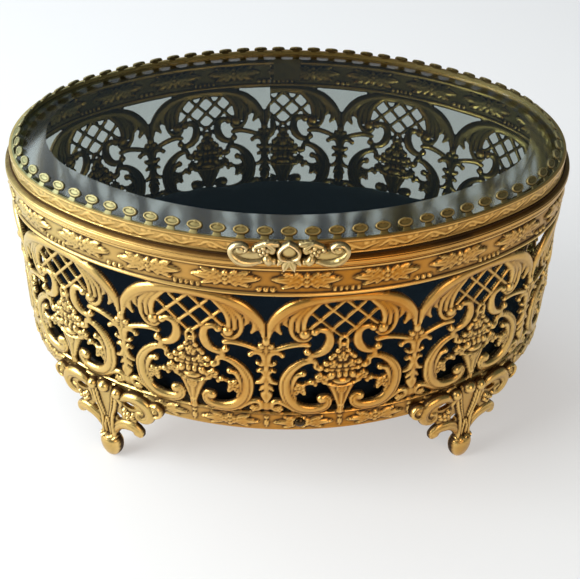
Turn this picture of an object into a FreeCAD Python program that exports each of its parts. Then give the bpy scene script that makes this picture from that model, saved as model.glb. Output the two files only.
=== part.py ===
import FreeCAD, Part
import math
import os
from types import SimpleNamespace

import Sketcher
from FreeCAD import Placement, Rotation, Vector

# An oval openwork jewelry casket: a pierced metal wall on four cast feet, a crowned velvet pad
# inside, and a hinged lid with a bevelled glass pane held by a gallery of small prongs.
# Millimetres. X runs along the length, the front faces -Y, Z is up and the feet stand on Z = 0.

SIZES = (
    # Plan of the lid, an oval of four tangent arcs that every other ring is offset from
    ("lid_half_length", 89.0),
    ("lid_half_depth", 63.5),
    ("end_swell", 15.0),
    # Pierced wall, one strip bent round the oval with a seam at the back
    ("foot_clearance", 26.0),
    ("wall_height", 63.0),
    ("wall_overhang", 1.5),
    ("wall_gauge", 1.4),
    ("border_height", 7.2),
    ("frieze_height", 10.1),
    ("bead_height", 1.1),
    ("bead_projection", 0.5),
    ("panel_pitch", 46.0),
    ("first_pilaster", 2.4),
    ("seam_shift", 6.5),
    ("seam_gap", 0.2),
    ("lattice_pitch", 3.55),
    ("lattice_bar", 0.9),
    # Rolled rim on the wall's upper edge
    ("rim_height", 2.6),
    ("rim_projection", 0.5),
    ("rim_round", 0.9),
    # Sheet base tray and the domed rivets that hold it in the wall
    ("fit_gap", 0.05),
    ("base_lift", 1.0),
    ("base_gauge", 0.8),
    ("flange_height", 5.2),
    ("rivet_radius", 0.9),
    ("rivet_head_radius", 1.6),
    ("rivet_head_height", 0.8),
    ("rivet_height", 3.4),
    ("rivet_shift", 4.0),
    # Pad: a card board under a stuffed velvet cushion
    ("board_gauge", 1.6),
    ("board_clearance", 0.3),
    ("pad_height", 14.2),
    ("pad_crown", 3.0),
    ("pad_tuck", 0.6),
    ("pad_shoulder", 5.4),
    # Cast feet
    ("foot_share", 0.772),
    ("foot_gauge", 2.4),
    ("foot_half_width", 20.0),
    ("foot_top", 6.4),
    ("foot_ball", 1.8),
    ("toe_radius", 3.5),
    ("toe_height", 9.6),
    # Hinge at the back
    ("hinge_width", 10.0),
    ("hinge_clearance", 0.35),
    ("knuckle_radius", 1.6),
    ("knuckle_gap", 0.3),
    ("middle_knuckle", 2.8),
    ("leaf_gauge", 0.8),
    ("leaf_drop", 9.0),
    ("pin_radius", 0.6),
    ("pin_clearance", 0.05),
    ("pin_head_radius", 1.1),
    ("pin_head", 0.5),
    # Lid
    ("lid_gap", 0.4),
    ("band_height", 4.6),
    ("band_gauge", 0.9),
    ("seat_lift", 0.4),
    ("seat_gauge", 0.8),
    ("seat_width", 3.6),
    ("glass_thickness", 4.8),
    ("glass_edge", 2.4),
    ("glass_clearance", 0.25),
    ("bevel_width", 10.0),
    ("gallery_gauge", 0.5),
    ("gallery_rise", 0.3),
    ("prong_pitch", 6.65),
    ("prong_head", 4.8),
    ("prong_stem", 2.0),
    ("prong_run", 2.95),
    ("prong_rise", 2.5),
    # Thumb clasp on the lid's front
    ("clasp_half_width", 16.4),
    ("clasp_height", 7.0),
    ("clasp_rise", 1.8),
    ("clasp_drop", 2.2),
    ("clasp_clearance", 0.4),
    ("clasp_gauge", 2.0),
    ("clasp_boss", 1.15),
    ("lug_width", 12.0),
    ("lug_height", 3.0),
)

# Outlines on the wall are drawn in hundredths: across, of one panel from its middle, and up, of the
# openwork from the border to the frieze. Each is drawn on the left half and mirrored to the right.
SPANDREL_HALF = ((0, 66), (1.2, 69), (3.5, 77), (10, 87), (17.2, 93.3), (23.8, 99.5))
LATTICE_REGION = ((0, 94), (-7.6, 93), (-14.4, 91), (-20.3, 87.5), (-24.5, 82), (-25.8, 77),
                  (-21.8, 73.5), (-14.4, 74.4), (-9.4, 70.5), (-2.6, 66.5), (0, 66.5))
SIDE_OPENINGS = (
    # Between the arch's foot and its inner leaf
    ((-40.6, 70.5), (-36.9, 76.8), (-34.1, 73.5), (-33.2, 69.8), (-29.5, 65.2), (-36, 62.6),
     (-45.2, 60.8), (-47, 66.3)),
    # Under the link bar, beside the pilaster
    ((-38.4, 57.1), (-26.2, 58.4), (-24.7, 53.2), (-29, 49.5), (-36.2, 44.4), (-41, 36.1),
     (-44.3, 36.5), (-45, 44.4), (-39.7, 51.6)),
    # Inside the small scroll
    ((-21, 67.8), (-14.4, 67.2), (-12.7, 63.5), (-15.3, 58.4), (-18.8, 55.4), (-21, 57.5),
     (-22.5, 61.5)),
    # Between the small scroll and the flowers
    ((-8.1, 63.7), (-3.7, 62.6), (-5, 55.1), (-8.1, 51.6), (-11.6, 47), (-14.4, 49.2),
     (-8.7, 55.4)),
    # Upper part of the large scroll
    ((-27.5, 42.2), (-19.7, 44.9), (-18.6, 39.6), (-16.6, 37), (-21.8, 32.4), (-31, 30.9),
     (-28.8, 34.1), (-24, 35), (-24, 38.7)),
    # Lower part of the large scroll, under the garland
    ((-30.6, 17.5), (-26.2, 18.8), (-21, 22.1), (-17.5, 24.5), (-10.9, 22.3), (-8.5, 16.6),
     (-11.8, 18.8), (-15.3, 16), (-15.9, 11.4), (-21.8, 9.8), (-27.5, 13.1)),
    # Between the pilaster's foot and the large scroll
    ((-46.3, 29.8), (-42.8, 29.8), (-41.5, 22.1), (-38.9, 15.3), (-43.4, 16), (-46.3, 22.1)),
    # Slits over the border
    ((-39.3, 6.8), (-34.9, 6.1), (-30.1, 2.6), (-39.3, 3.1)),
    ((-4.8, 5.7), (-3.1, 1.3), (-9.6, 1.8)),
)

# The foot's outline, right half, from its crest down to the toe: across in hundredths of the half
# width. The upper points climb from the wall's lower edge in hundredths of the foot's top, and the
# lower ones fall from it in hundredths of the clearance.
FOOT_UPPER = ((0, 88), (14, 72), (30, 74), (42, 48), (70, 74), (92, 74), (100, 40), (94, 8))
FOOT_LOWER = ((80, 0), (80, 16), (72, 30), (58, 38), (44, 33), (30, 33), (16, 38), (8.5, 48),
              (9, 62), (14, 78), (14, 90))

# The clasp's outline, right half, from its top to the drop: across in hundredths of the half width
# and up in hundredths of the height, with the drop below zero.
CLASP_HALF = ((0, 92), (14, 100), (30, 84), (50, 92), (76, 100), (95, 84), (100, 54), (92, 24),
              (74, 12), (52, 22), (34, 6), (14, 0))

REACH = 2.5          # how far the opening cutters run past each face of the wall


class Size:
    """A length together with the sheet formula that gives it."""

    def __init__(self, number, formula):
        self.number = number
        self.formula = formula

    def _join(self, other, sign, number):
        return Size(number, f"({self.formula} {sign} {other.formula})")

    def __add__(self, other):
        other = as_size(other)
        return self._join(other, "+", self.number + other.number)

    def __sub__(self, other):
        other = as_size(other)
        return self._join(other, "-", self.number - other.number)

    def __mul__(self, other):
        other = as_size(other)
        return self._join(other, "*", self.number * other.number)

    def __truediv__(self, other):
        other = as_size(other)
        return self._join(other, "/", self.number / other.number)

    def __neg__(self):
        return Size(-self.number, f"(0 - {self.formula})")


def as_size(value):
    return value if isinstance(value, Size) else Size(float(value), repr(float(value)))


def bind(target, prop, value):
    """Ties a property to the sheet."""
    target.setExpression(prop, as_size(value).formula)


doc = FreeCAD.newDocument("JewelryCasket")
sheet = doc.addObject("Spreadsheet::Sheet", "Sizes")
for row, (alias, number) in enumerate(SIZES, start=1):
    sheet.set(f"A{row}", alias.replace("_", " "))
    sheet.set(f"B{row}", str(number))
    sheet.setAlias(f"B{row}", alias)
doc.recompute()
size = SimpleNamespace(**{alias: Size(float(sheet.get(alias)), f"Sizes.{alias}") for alias, _ in SIZES})

# Plan: the centres and radii of the four arcs
end_radius = size.lid_half_depth - size.end_swell
end_centre = size.lid_half_length - end_radius
side_centre = (end_centre * end_centre - size.end_swell * size.end_swell) / (size.end_swell * 2)
side_radius = size.lid_half_depth + side_centre
arc_lean = math.atan2(side_centre.number, end_centre.number)

# Offsets outward from the lid's outline
wall_outer = size.wall_overhang
wall_inner = size.wall_overhang - size.wall_gauge
rim_outer = wall_outer + size.rim_projection
flange_outer = wall_inner - size.fit_gap
flange_inner = flange_outer - size.base_gauge
board_outer = flange_inner - size.rivet_head_height / 2 - size.board_clearance
band_inner = -size.band_gauge
seat_outer = band_inner - size.fit_gap
seat_inner = seat_outer - size.seat_width
gallery_inner = seat_outer - size.gallery_gauge
glass_outer = gallery_inner - size.glass_clearance

# Levels
wall_top = size.foot_clearance + size.wall_height
frieze_bottom = wall_top - size.frieze_height
border_top = size.foot_clearance + size.border_height
rim_top = wall_top + size.rim_height
base_bottom = size.foot_clearance + size.base_lift
board_bottom = base_bottom + size.base_gauge
pad_bottom = board_bottom + size.board_gauge
band_bottom = rim_top + size.lid_gap
band_top = band_bottom + size.band_height
seat_bottom = band_bottom + size.seat_lift
glass_bottom = seat_bottom + size.seat_gauge
gallery_top = band_top + size.gallery_rise
clasp_bottom = band_top + size.clasp_rise - size.clasp_height
hinge_level = rim_top + size.lid_gap / 2

# Distances from the middle, front to back
back_face = size.lid_half_depth + rim_outer
hinge_back = back_face + size.knuckle_radius + size.hinge_clearance
clasp_back = back_face + size.clasp_clearance


def new_body(name):
    body = doc.addObject("PartDesign::Body", name)
    body.Label = name
    return body


def level_sketch(body, name, lift):
    """A level sketch on the body's own base plane, lifted to its height."""
    plane = next(plane for plane in body.Origin.OriginFeatures if plane.Role == "XY_Plane")
    sketch = body.newObject("Sketcher::SketchObject", name)
    sketch.AttachmentSupport = [(plane, "")]
    sketch.MapMode = "FlatFace"
    bind(sketch, "AttachmentOffset.Base.z", lift)
    return sketch


def drive(sketch, kind, references, value):
    """Adds a measured constraint that follows the sheet."""
    index = sketch.addConstraint(Sketcher.Constraint(kind, *references, value.number))
    bind(sketch, f"Constraints[{index}]", value)


def add_oval(sketch, offset):
    """Four tangent arcs at an offset outward from the lid's outline."""
    end = end_radius + offset
    side = side_radius + offset
    spans = (
        (end_centre.number, 0, end.number, -arc_lean, arc_lean),
        (0, -side_centre.number, side.number, arc_lean, math.pi - arc_lean),
        (-end_centre.number, 0, end.number, math.pi - arc_lean, math.pi + arc_lean),
        (0, side_centre.number, side.number, math.pi + arc_lean, 2 * math.pi - arc_lean),
    )
    arcs = []
    for x, y, radius, start, stop in spans:
        circle = Part.Circle(Vector(x, y, 0), Vector(0, 0, 1), radius)
        arcs.append(sketch.addGeometry(Part.ArcOfCircle(circle, start, stop), False))
    for near, far in zip(arcs, arcs[1:] + arcs[:1]):
        sketch.addConstraint(Sketcher.Constraint("Tangent", near, 2, far, 1))
    right, back, left, front = arcs
    for arc in (right, left):
        sketch.addConstraint(Sketcher.Constraint("PointOnObject", arc, 3, -1))
    drive(sketch, "DistanceX", (-1, 1, right, 3), end_centre)
    drive(sketch, "DistanceX", (left, 3, -1, 1), end_centre)
    for arc in (right, left):
        drive(sketch, "Radius", (arc,), end)
    for arc in (back, front):
        drive(sketch, "Radius", (arc,), side)


def add_ring(body, name, outer, inner, bottom, height):
    """A level ring between two offsets, or a plate where there is no inner one."""
    sketch = level_sketch(body, f"{name}_outline", bottom)
    add_oval(sketch, outer)
    if inner is not None:
        add_oval(sketch, inner)
    pad = body.newObject("PartDesign::Pad", f"{name}_pad")
    pad.Profile = sketch
    bind(pad, "Length", height)
    return pad


def oval_spot(distance, offset):
    """Point, tangent and outward normal at a distance round an offset oval.

    Distances run from the middle of the back towards -X and on round the left end.
    """
    end = end_radius.number + offset
    side = side_radius.number + offset
    quarter = math.pi / 2 - arc_lean
    spans = (
        (0, -side_centre.number, side, math.pi / 2, quarter),
        (-end_centre.number, 0, end, math.pi - arc_lean, 2 * arc_lean),
        (0, side_centre.number, side, math.pi + arc_lean, 2 * quarter),
        (end_centre.number, 0, end, -arc_lean, 2 * arc_lean),
        (0, -side_centre.number, side, arc_lean, quarter),
    )
    left = distance % sum(radius * sweep for _, _, radius, _, sweep in spans)
    for x, y, radius, start, sweep in spans:
        if left <= radius * sweep:
            break
        left -= radius * sweep
    angle = start + left / radius
    normal = Vector(math.cos(angle), math.sin(angle), 0)
    tangent = Vector(-math.sin(angle), math.cos(angle), 0)
    return Vector(x, y, 0) + normal * radius, tangent, normal


def oval_length(offset):
    return 4 * ((side_radius.number + offset) * (math.pi / 2 - arc_lean)
                + (end_radius.number + offset) * arc_lean)


def prism(points, depth):
    """A closed outline carried along a direction."""
    face = Part.Face(Part.makePolygon(list(points) + [points[0]]))
    return face.extrude(depth)


def mirrored(outline):
    return tuple((-across, up) for across, up in reversed(outline))


def both_halves(outline):
    """A half outline that starts and ends on the middle line, closed by its mirror image."""
    return tuple(outline) + tuple((-across, up) for across, up in reversed(outline) if across)


def inside(outline, across, up):
    """Whether a point lies inside a closed outline."""
    found = False
    for (x0, y0), (x1, y1) in zip(outline, outline[1:] + outline[:1]):
        if (y0 > up) != (y1 > up) and across < x0 + (up - y0) * (x1 - x0) / (y1 - y0):
            found = not found
    return found


def lattice_openings():
    """The diamonds between crossed bars that lie whole inside the lattice's outline."""
    across = 100 * size.lattice_pitch.number / size.panel_pitch.number
    rise = 100 * size.lattice_pitch.number / (frieze_bottom - border_top).number
    share = 1 - size.lattice_bar.number / (size.lattice_pitch.number * math.sqrt(2))
    region = both_halves(LATTICE_REGION)
    middle = sum(up for _, up in LATTICE_REGION) / len(LATTICE_REGION)
    reach = range(-4, 5)
    found = []
    for column in reach:
        for level in reach:
            if (column + level) % 2:
                x, y = column * across, middle + level * rise
                diamond = ((x - across * share, y), (x, y + rise * share),
                           (x + across * share, y), (x, y - rise * share))
                if all(inside(region, *corner) for corner in diamond):
                    found.append(diamond)
    return found


def wall_cutters():
    """One prism for each opening of the wall, square to the wall at the opening's middle."""
    pitch = size.panel_pitch.number
    length = oval_length(wall_outer.number)
    seam = size.seam_shift.number
    rise = (frieze_bottom - border_top).number
    panel = [*SIDE_OPENINGS, *(mirrored(outline) for outline in SIDE_OPENINGS), *lattice_openings()]
    spandrel = both_halves(SPANDREL_HALF)
    depth = size.wall_gauge.number + 2 * REACH + size.bead_projection.number
    cutters = []
    for step in range(int(length / pitch) + 1):
        pilaster = size.first_pilaster.number + step * pitch
        spots = [(pilaster, spandrel)] + [(pilaster + pitch / 2, outline) for outline in panel]
        for middle, outline in spots:
            xs = [middle + across * pitch / 100 for across, _ in outline]
            if min(xs) < size.seam_gap.number or max(xs) > length - size.lattice_bar.number:
                continue
            own = (min(xs) + max(xs)) / 2
            spot, tangent, normal = oval_spot(seam + own, wall_outer.number)
            start = spot + normal * (REACH + size.bead_projection.number)
            points = [start + tangent * (x - own) + Vector(0, 0, border_top.number + up * rise / 100)
                      for x, (_, up) in zip(xs, outline)]
            cutters.append(prism(points, normal * -depth))
    return cutters


def seam_cutter():
    spot, tangent, normal = oval_spot(size.seam_shift.number, wall_outer.number)
    half = tangent * (size.seam_gap.number / 2)
    start = spot + normal * REACH + Vector(0, 0, size.foot_clearance.number - 1)
    rise = Vector(0, 0, size.wall_height.number + 2)
    corners = [start - half, start + half, start + half + rise, start - half + rise]
    return prism(corners, normal * -(size.wall_gauge.number + 2 * REACH))


def rivet_spots():
    """Middle of each base rivet on the wall's outer face: back, left, front and right."""
    quarter = oval_length(wall_outer.number) / 4
    for turn in range(4):
        spot, _, normal = oval_spot(turn * quarter + size.rivet_shift.number, wall_outer.number)
        yield spot + Vector(0, 0, (size.foot_clearance + size.rivet_height).number), normal


def rivet_bores():
    """Holes through the wall and the base flange for the rivets' shanks."""
    radius = (size.rivet_radius + size.fit_gap).number
    depth = size.wall_gauge.number + size.base_gauge.number + 2 * REACH
    return [Part.makeCylinder(radius, depth, spot + normal * REACH, -normal)
            for spot, normal in rivet_spots()]


def computed(name, shape):
    """A sub-part, or a cutter, whose shape follows a formula."""
    feature = doc.addObject("Part::Feature", name)
    feature.Label = name
    feature.Shape = shape
    return feature


def cut(name, base, tool):
    feature = doc.addObject("Part::Cut", name)
    feature.Label = name
    feature.Base = base
    feature.Tool = tool
    return feature


def filigree_wall():
    shell = new_body("wall_shell")
    add_ring(shell, "wall", wall_outer, wall_inner, size.foot_clearance, size.wall_height)
    bead = wall_outer + size.bead_projection
    add_ring(shell, "frieze_bead", bead, wall_inner, frieze_bottom, size.bead_height)
    add_ring(shell, "border_bead", bead, wall_inner, border_top - size.bead_height, size.bead_height)
    cutters = computed("wall_cutters",
                       Part.makeCompound(wall_cutters() + [seam_cutter()] + rivet_bores()))
    return cut("filigree_wall", shell, cutters)


def body_rim():
    blank = new_body("rim_blank")
    ring = add_ring(blank, "rim", rim_outer, wall_inner, wall_top, size.rim_height)
    doc.recompute()
    outer_edges = [f"Edge{i}" for i, edge in enumerate(ring.Shape.Edges, start=1)
                   if level_edge(edge) and edge.Curve.Radius > limit_radius(edge, wall_outer)]
    rounding = blank.newObject("PartDesign::Fillet", "rim_rounding")
    rounding.Base = (ring, outer_edges)
    bind(rounding, "Radius", size.rim_round)
    slack = size.fit_gap * 2
    notch = box("hinge_notch", size.hinge_width + slack * 2, rim_outer + REACH * 2, size.rim_height,
                -(size.hinge_width / 2 + slack), size.lid_half_depth - REACH,
                hinge_level - size.knuckle_radius - slack)
    return cut("body_rim", blank, notch)


def level_edge(edge):
    return edge.BoundBox.ZLength < 1e-6


def limit_radius(edge, offset):
    """Radius of the end or side arc, whichever this edge follows, at an offset."""
    ends = abs(edge.Curve.Center.y) < 1e-6
    return (end_radius if ends else side_radius).number + offset.number


def place(feature, x, y, z):
    for axis, value in zip("xyz", (x, y, z)):
        bind(feature, f"Placement.Base.{axis}", value)


def base_plate():
    tray = new_body("base_tray")
    add_ring(tray, "base", flange_outer, None, base_bottom, size.base_gauge)
    add_ring(tray, "flange", flange_outer, flange_inner, base_bottom, size.flange_height)
    bores = computed("flange_bores", Part.makeCompound(rivet_bores()))
    return cut("base_plate", tray, bores)


def dome(radius, height, spot, direction):
    """A low round head: the part of a ball above a flat, with its flat at the spot."""
    ball = (radius * radius + height * height) / (2 * height)
    centre = spot - direction * (ball - height)
    cap = Part.makeSphere(ball, centre)
    return cap.common(Part.makeCylinder(radius * 2, height * 2, spot, direction))


def base_rivets():
    """Four domed rivets, each through the wall and the flange, with a flat head inside."""
    rivets = []
    grip = (wall_outer - flange_inner + size.fit_gap).number
    head = size.rivet_head_height.number
    for spot, normal in rivet_spots():
        shank = Part.makeCylinder(size.rivet_radius.number, grip, spot, -normal)
        cap = dome(size.rivet_head_radius.number, head, spot, normal)
        clench = Part.makeCylinder(size.rivet_head_radius.number * 0.8, head / 2,
                                   spot - normal * grip, -normal)
        rivets.append(shank.fuse([cap, clench]).removeSplitter())
    return computed("base_rivets", Part.makeCompound(rivets))


def pad_board():
    board = new_body("pad_board")
    add_ring(board, "board", board_outer, None, board_bottom, size.board_gauge)
    return board


def pad_cushion():
    """A crowned pad whose sides draw in to the board below and over the shoulder above."""
    cushion = new_body("pad_cushion")
    side = size.pad_height - size.pad_crown
    lowest = pad_bottom + size.fit_gap
    levels = (
        (board_outer - size.pad_tuck, lowest),
        (board_outer, lowest + side * 0.38),
        (board_outer - size.pad_shoulder * 0.1, lowest + side * 0.66),
        (board_outer - size.pad_shoulder * 0.4, lowest + side * 0.88),
        (board_outer - size.pad_shoulder, lowest + side),
        (board_outer - end_radius * 0.28, lowest + side + size.pad_crown * 0.45),
        (board_outer - end_radius * 0.52, lowest + side + size.pad_crown * 0.82),
        (board_outer - end_radius * 0.82, lowest + size.pad_height),
    )
    sections = []
    for step, (offset, level) in enumerate(levels):
        sketch = level_sketch(cushion, f"pad_section_{step}", level)
        add_oval(sketch, offset)
        sections.append(sketch)
    loft = cushion.newObject("PartDesign::AdditiveLoft", "pad_loft")
    loft.Profile = sections[0]
    loft.Sections = sections[1:]
    loft.Ruled = True
    return cushion


def foot_outline():
    """Corners of the foot's right half and left half, in the plane across it."""
    half = size.foot_half_width.number / 100
    top = size.foot_top.number / 100
    drop = size.foot_clearance.number / 100
    edge = size.foot_clearance.number
    right = [(across * half, edge + up * top) for across, up in FOOT_UPPER]
    right += [(across * half, edge - down * drop) for across, down in FOOT_LOWER]
    return both_halves(right)


def foot_shape():
    """A curved cast plate that hugs the wall's side arc, with balls at its crest and a spade toe.

    It is made about the arc's own centre, facing -Y, so that a turn about Z sets it in place.
    """
    inner = (side_radius + wall_outer + size.fit_gap).number
    gauge = size.foot_gauge.number
    top = (size.foot_clearance + size.foot_top + size.foot_ball).number
    ring = Part.makeCylinder(inner + gauge, top).cut(Part.makeCylinder(inner, top))
    corners = [Vector(x, -inner - 2 * gauge, z) for x, z in foot_outline()]
    plate = ring.common(prism(corners, Vector(0, 4 * gauge, 0)))
    face = -inner - gauge
    ball = size.foot_ball.number
    crest = (size.foot_clearance + size.foot_top * 0.7).number
    knobs = [Part.makeSphere(ball, Vector(0, face + ball * 0.4, crest))]
    for side in (-1, 1):
        spot = Vector(side * size.foot_half_width.number * 0.28, face + ball * 0.4, crest - ball * 0.7)
        knobs.append(Part.makeSphere(ball * 0.75, spot))
    toe = foot_toe(Vector(0, -inner - gauge / 2, 0))
    shape = plate.fuse(knobs + [toe]).removeSplitter()
    lowest = size.foot_clearance.number
    behind = Part.makeCylinder(inner, top, Vector(0, 0, lowest))
    bead_level = (border_top - size.bead_height - size.fit_gap).number
    bead = Part.makeCylinder(inner + size.bead_projection.number, top, Vector(0, 0, bead_level))
    return shape.cut(behind.fuse(bead))


def foot_toe(spot):
    """A turned spade toe with a flat under it, standing at the spot."""
    radius = size.toe_radius.number
    high = size.toe_height.number
    flat, waist = radius * 0.65, radius * 0.45
    neck = Vector(radius * 0.82, 0, high * 0.62)
    axis_top = Vector(0, 0, high)
    edges = [
        Part.LineSegment(Vector(0, 0, 0), Vector(flat, 0, 0)).toShape(),
        Part.Arc(Vector(flat, 0, 0), Vector(radius, 0, high * 0.3), neck).toShape(),
        Part.LineSegment(neck, Vector(waist, 0, high)).toShape(),
        Part.LineSegment(Vector(waist, 0, high), axis_top).toShape(),
        Part.LineSegment(axis_top, Vector(0, 0, 0)).toShape(),
    ]
    toe = Part.Face(Part.Wire(edges)).revolve(Vector(0, 0, 0), Vector(0, 0, 1), 360)
    toe.translate(spot)
    return toe


def feet():
    """Four like feet, set round the two side arcs."""
    shape = foot_shape()
    swing = math.degrees(math.pi / 2 - arc_lean) * size.foot_share.number
    found = []
    for end, front, turn in (("front", 1, 0), ("back", -1, 180)):
        for side, right in (("left", -1), ("right", 1)):
            foot = computed(f"foot_{end}_{side}", shape.copy())
            centre = Vector(0, front * side_centre.number, 0)
            foot.Placement = Placement(centre, Rotation(Vector(0, 0, 1), turn + front * right * swing))
            found.append(foot)
    return found


def box(name, length, width, height, x, y, z):
    feature = doc.addObject("Part::Box", name)
    bind(feature, "Length", length)
    bind(feature, "Width", width)
    bind(feature, "Height", height)
    place(feature, x, y, z)
    return feature


def hinge_rod(name, radius, start, length):
    """A round along the hinge's axis."""
    feature = doc.addObject("Part::Cylinder", name)
    bind(feature, "Radius", radius)
    bind(feature, "Height", length)
    feature.Placement = Placement(Vector(), Rotation(Vector(0, 1, 0), 90))
    place(feature, start, hinge_back, hinge_level)
    return feature


def fuse(name, shapes):
    feature = doc.addObject("Part::MultiFuse", name)
    feature.Label = name
    feature.Shapes = shapes
    return feature


def hinge_body_leaf():
    """Inner plate, a tongue through the rim's notch, and the two outer knuckles."""
    half = size.hinge_width / 2
    wall_face = size.lid_half_depth + wall_inner - size.fit_gap * 4
    plate_face = wall_face - size.leaf_gauge
    tongue_bottom = hinge_level - size.knuckle_radius
    plate = box("body_leaf_plate", size.hinge_width, size.leaf_gauge, size.leaf_drop,
                -half, plate_face, tongue_bottom + size.leaf_gauge - size.leaf_drop)
    tongue = box("body_leaf_tongue", size.hinge_width, hinge_back - plate_face, size.leaf_gauge,
                 -half, plate_face, tongue_bottom)
    barrel = hinge_rod("body_leaf_barrel", size.knuckle_radius, -half, size.hinge_width)
    blank = fuse("body_leaf_blank", [plate, tongue, barrel])
    slot_width = size.middle_knuckle + size.knuckle_gap * 2
    slot_start = hinge_back - size.knuckle_radius - size.hinge_clearance
    slot = box("body_leaf_slot", slot_width, size.knuckle_radius * 4, size.knuckle_radius * 4,
               -(slot_width / 2), slot_start, hinge_level - size.knuckle_radius * 2)
    bore = hinge_rod("body_leaf_bore", size.pin_radius + size.pin_clearance,
                     -size.hinge_width, size.hinge_width * 2)
    return cut("hinge_body_leaf", blank, fuse("body_leaf_cuts", [slot, bore]))


def hinge_lid_leaf():
    """Plate on the lid band, a narrow tongue and the middle knuckle."""
    half = size.hinge_width / 2
    knuckle = size.middle_knuckle
    plate_face = size.lid_half_depth + size.fit_gap
    plate = box("lid_leaf_plate", size.hinge_width, size.leaf_gauge, size.band_height - size.lid_gap,
                -half, plate_face, band_bottom + size.lid_gap / 2)
    tongue = box("lid_leaf_tongue", knuckle, hinge_back - plate_face, size.leaf_gauge,
                 -(knuckle / 2), plate_face, hinge_level + size.knuckle_radius - size.leaf_gauge)
    barrel = hinge_rod("lid_leaf_barrel", size.knuckle_radius, -(knuckle / 2), knuckle)
    blank = fuse("lid_leaf_blank", [plate, tongue, barrel])
    bore = hinge_rod("lid_leaf_bore", size.pin_radius + size.pin_clearance, -knuckle, knuckle * 2)
    return cut("hinge_lid_leaf", blank, bore)


def hinge_pin():
    """A pin with a flat head past each outer knuckle."""
    reach = size.hinge_width / 2 + size.fit_gap
    head = size.pin_head
    shank = hinge_rod("pin_shank", size.pin_radius, -(reach + head), (reach + head) * 2)
    left = hinge_rod("pin_head_left", size.pin_head_radius, -(reach + head), head)
    right = hinge_rod("pin_head_right", size.pin_head_radius, reach, head)
    return fuse("hinge_pin", [shank, left, right])


def lid_band():
    band = new_body("lid_band")
    add_ring(band, "band", as_size(0), band_inner, band_bottom, size.band_height)
    return band


def glass_seat():
    seat = new_body("glass_seat")
    add_ring(seat, "seat", seat_outer, seat_inner, seat_bottom, size.seat_gauge)
    return seat


def glass_pane():
    """A thick oval plate with a wide bevel round its upper face."""
    pane = new_body("glass_pane")
    lowest = glass_bottom + size.fit_gap
    plate = add_ring(pane, "glass", glass_outer, None, lowest, size.glass_thickness)
    doc.recompute()
    top = (lowest + size.glass_thickness).number
    edges = [f"Edge{i}" for i, edge in enumerate(plate.Shape.Edges, start=1)
             if level_edge(edge) and abs(edge.BoundBox.ZMin - top) < 1e-6]
    bevel = pane.newObject("PartDesign::Chamfer", "glass_bevel")
    bevel.Base = (plate, edges)
    bevel.ChamferType = "Two distances"
    bind(bevel, "Size", size.glass_thickness - size.glass_edge)
    bind(bevel, "Size2", size.bevel_width)
    return pane


def oval_wire(offset, level):
    """The same oval as a plain wire, for the sloping ring of prongs."""
    end = end_radius.number + offset
    side = side_radius.number + offset
    spans = (
        (end_centre.number, 0, end, -arc_lean, arc_lean),
        (0, -side_centre.number, side, arc_lean, math.pi - arc_lean),
        (-end_centre.number, 0, end, math.pi - arc_lean, math.pi + arc_lean),
        (0, side_centre.number, side, math.pi + arc_lean, 2 * math.pi - arc_lean),
    )
    up = Vector(0, 0, 1)
    return Part.Wire([Part.ArcOfCircle(Part.Circle(Vector(x, y, level), up, radius), start, stop).toShape()
                      for x, y, radius, start, stop in spans])


def gallery_shell(offset, drop, stretch):
    """A filled ring blank: upright at first, then sloping inward past the prongs' tips."""
    foot = oval_wire(offset, (glass_bottom + size.fit_gap).number - drop)
    bend = oval_wire(offset, gallery_top.number - drop)
    tip = oval_wire(offset - size.prong_run.number * stretch,
                    gallery_top.number + size.prong_rise.number * stretch - drop)
    upright = Part.makeLoft([foot, bend], True, True)
    slope = Part.makeLoft([bend, tip], True, True)
    return upright.fuse(slope)


def prong_gaps():
    """Keyhole gaps that leave a round-headed prong between each pair of them."""
    length = oval_length(seat_outer.number)
    count = round(length / size.prong_pitch.number)
    pitch = length / count
    wide = (pitch - size.prong_stem.number) / 2
    narrow = (pitch - size.prong_head.number) / 2
    rise = size.prong_rise.number
    base = gallery_top.number
    half = ((0, base + rise * 0.04), (wide * 0.8, base + rise * 0.04), (wide, base + rise * 0.2),
            (narrow, base + rise * 0.45), (narrow, base + rise * 0.72), (wide * 0.75, base + rise * 1.2),
            (0, base + rise * 1.2))
    outline = both_halves(half)
    gaps = []
    for step in range(count):
        spot, tangent, normal = oval_spot(step * pitch, seat_outer.number)
        start = spot + normal * REACH
        points = [start + tangent * across + Vector(0, 0, up) for across, up in outline]
        gaps.append(prism(points, normal * -(2 * REACH + size.prong_run.number)))
    return gaps


def crown_gallery():
    drop = size.gallery_gauge.number * 0.4
    outer = gallery_shell(seat_outer.number, 0, 1)
    inner = gallery_shell(gallery_inner.number, drop, 1.5)
    blank = computed("gallery_blank", outer.cut(inner))
    gaps = computed("gallery_gaps", Part.makeCompound(prong_gaps()))
    return cut("crown_gallery", blank, gaps)


def clasp_outline():
    """The clasp's outline, with the drop at its foot."""
    half = size.clasp_half_width.number / 100
    rise = size.clasp_height.number / 100
    low = clasp_bottom.number
    right = [(across * half, low + up * rise) for across, up in CLASP_HALF]
    return both_halves(right + [(0, low - size.clasp_drop.number)])


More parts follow.
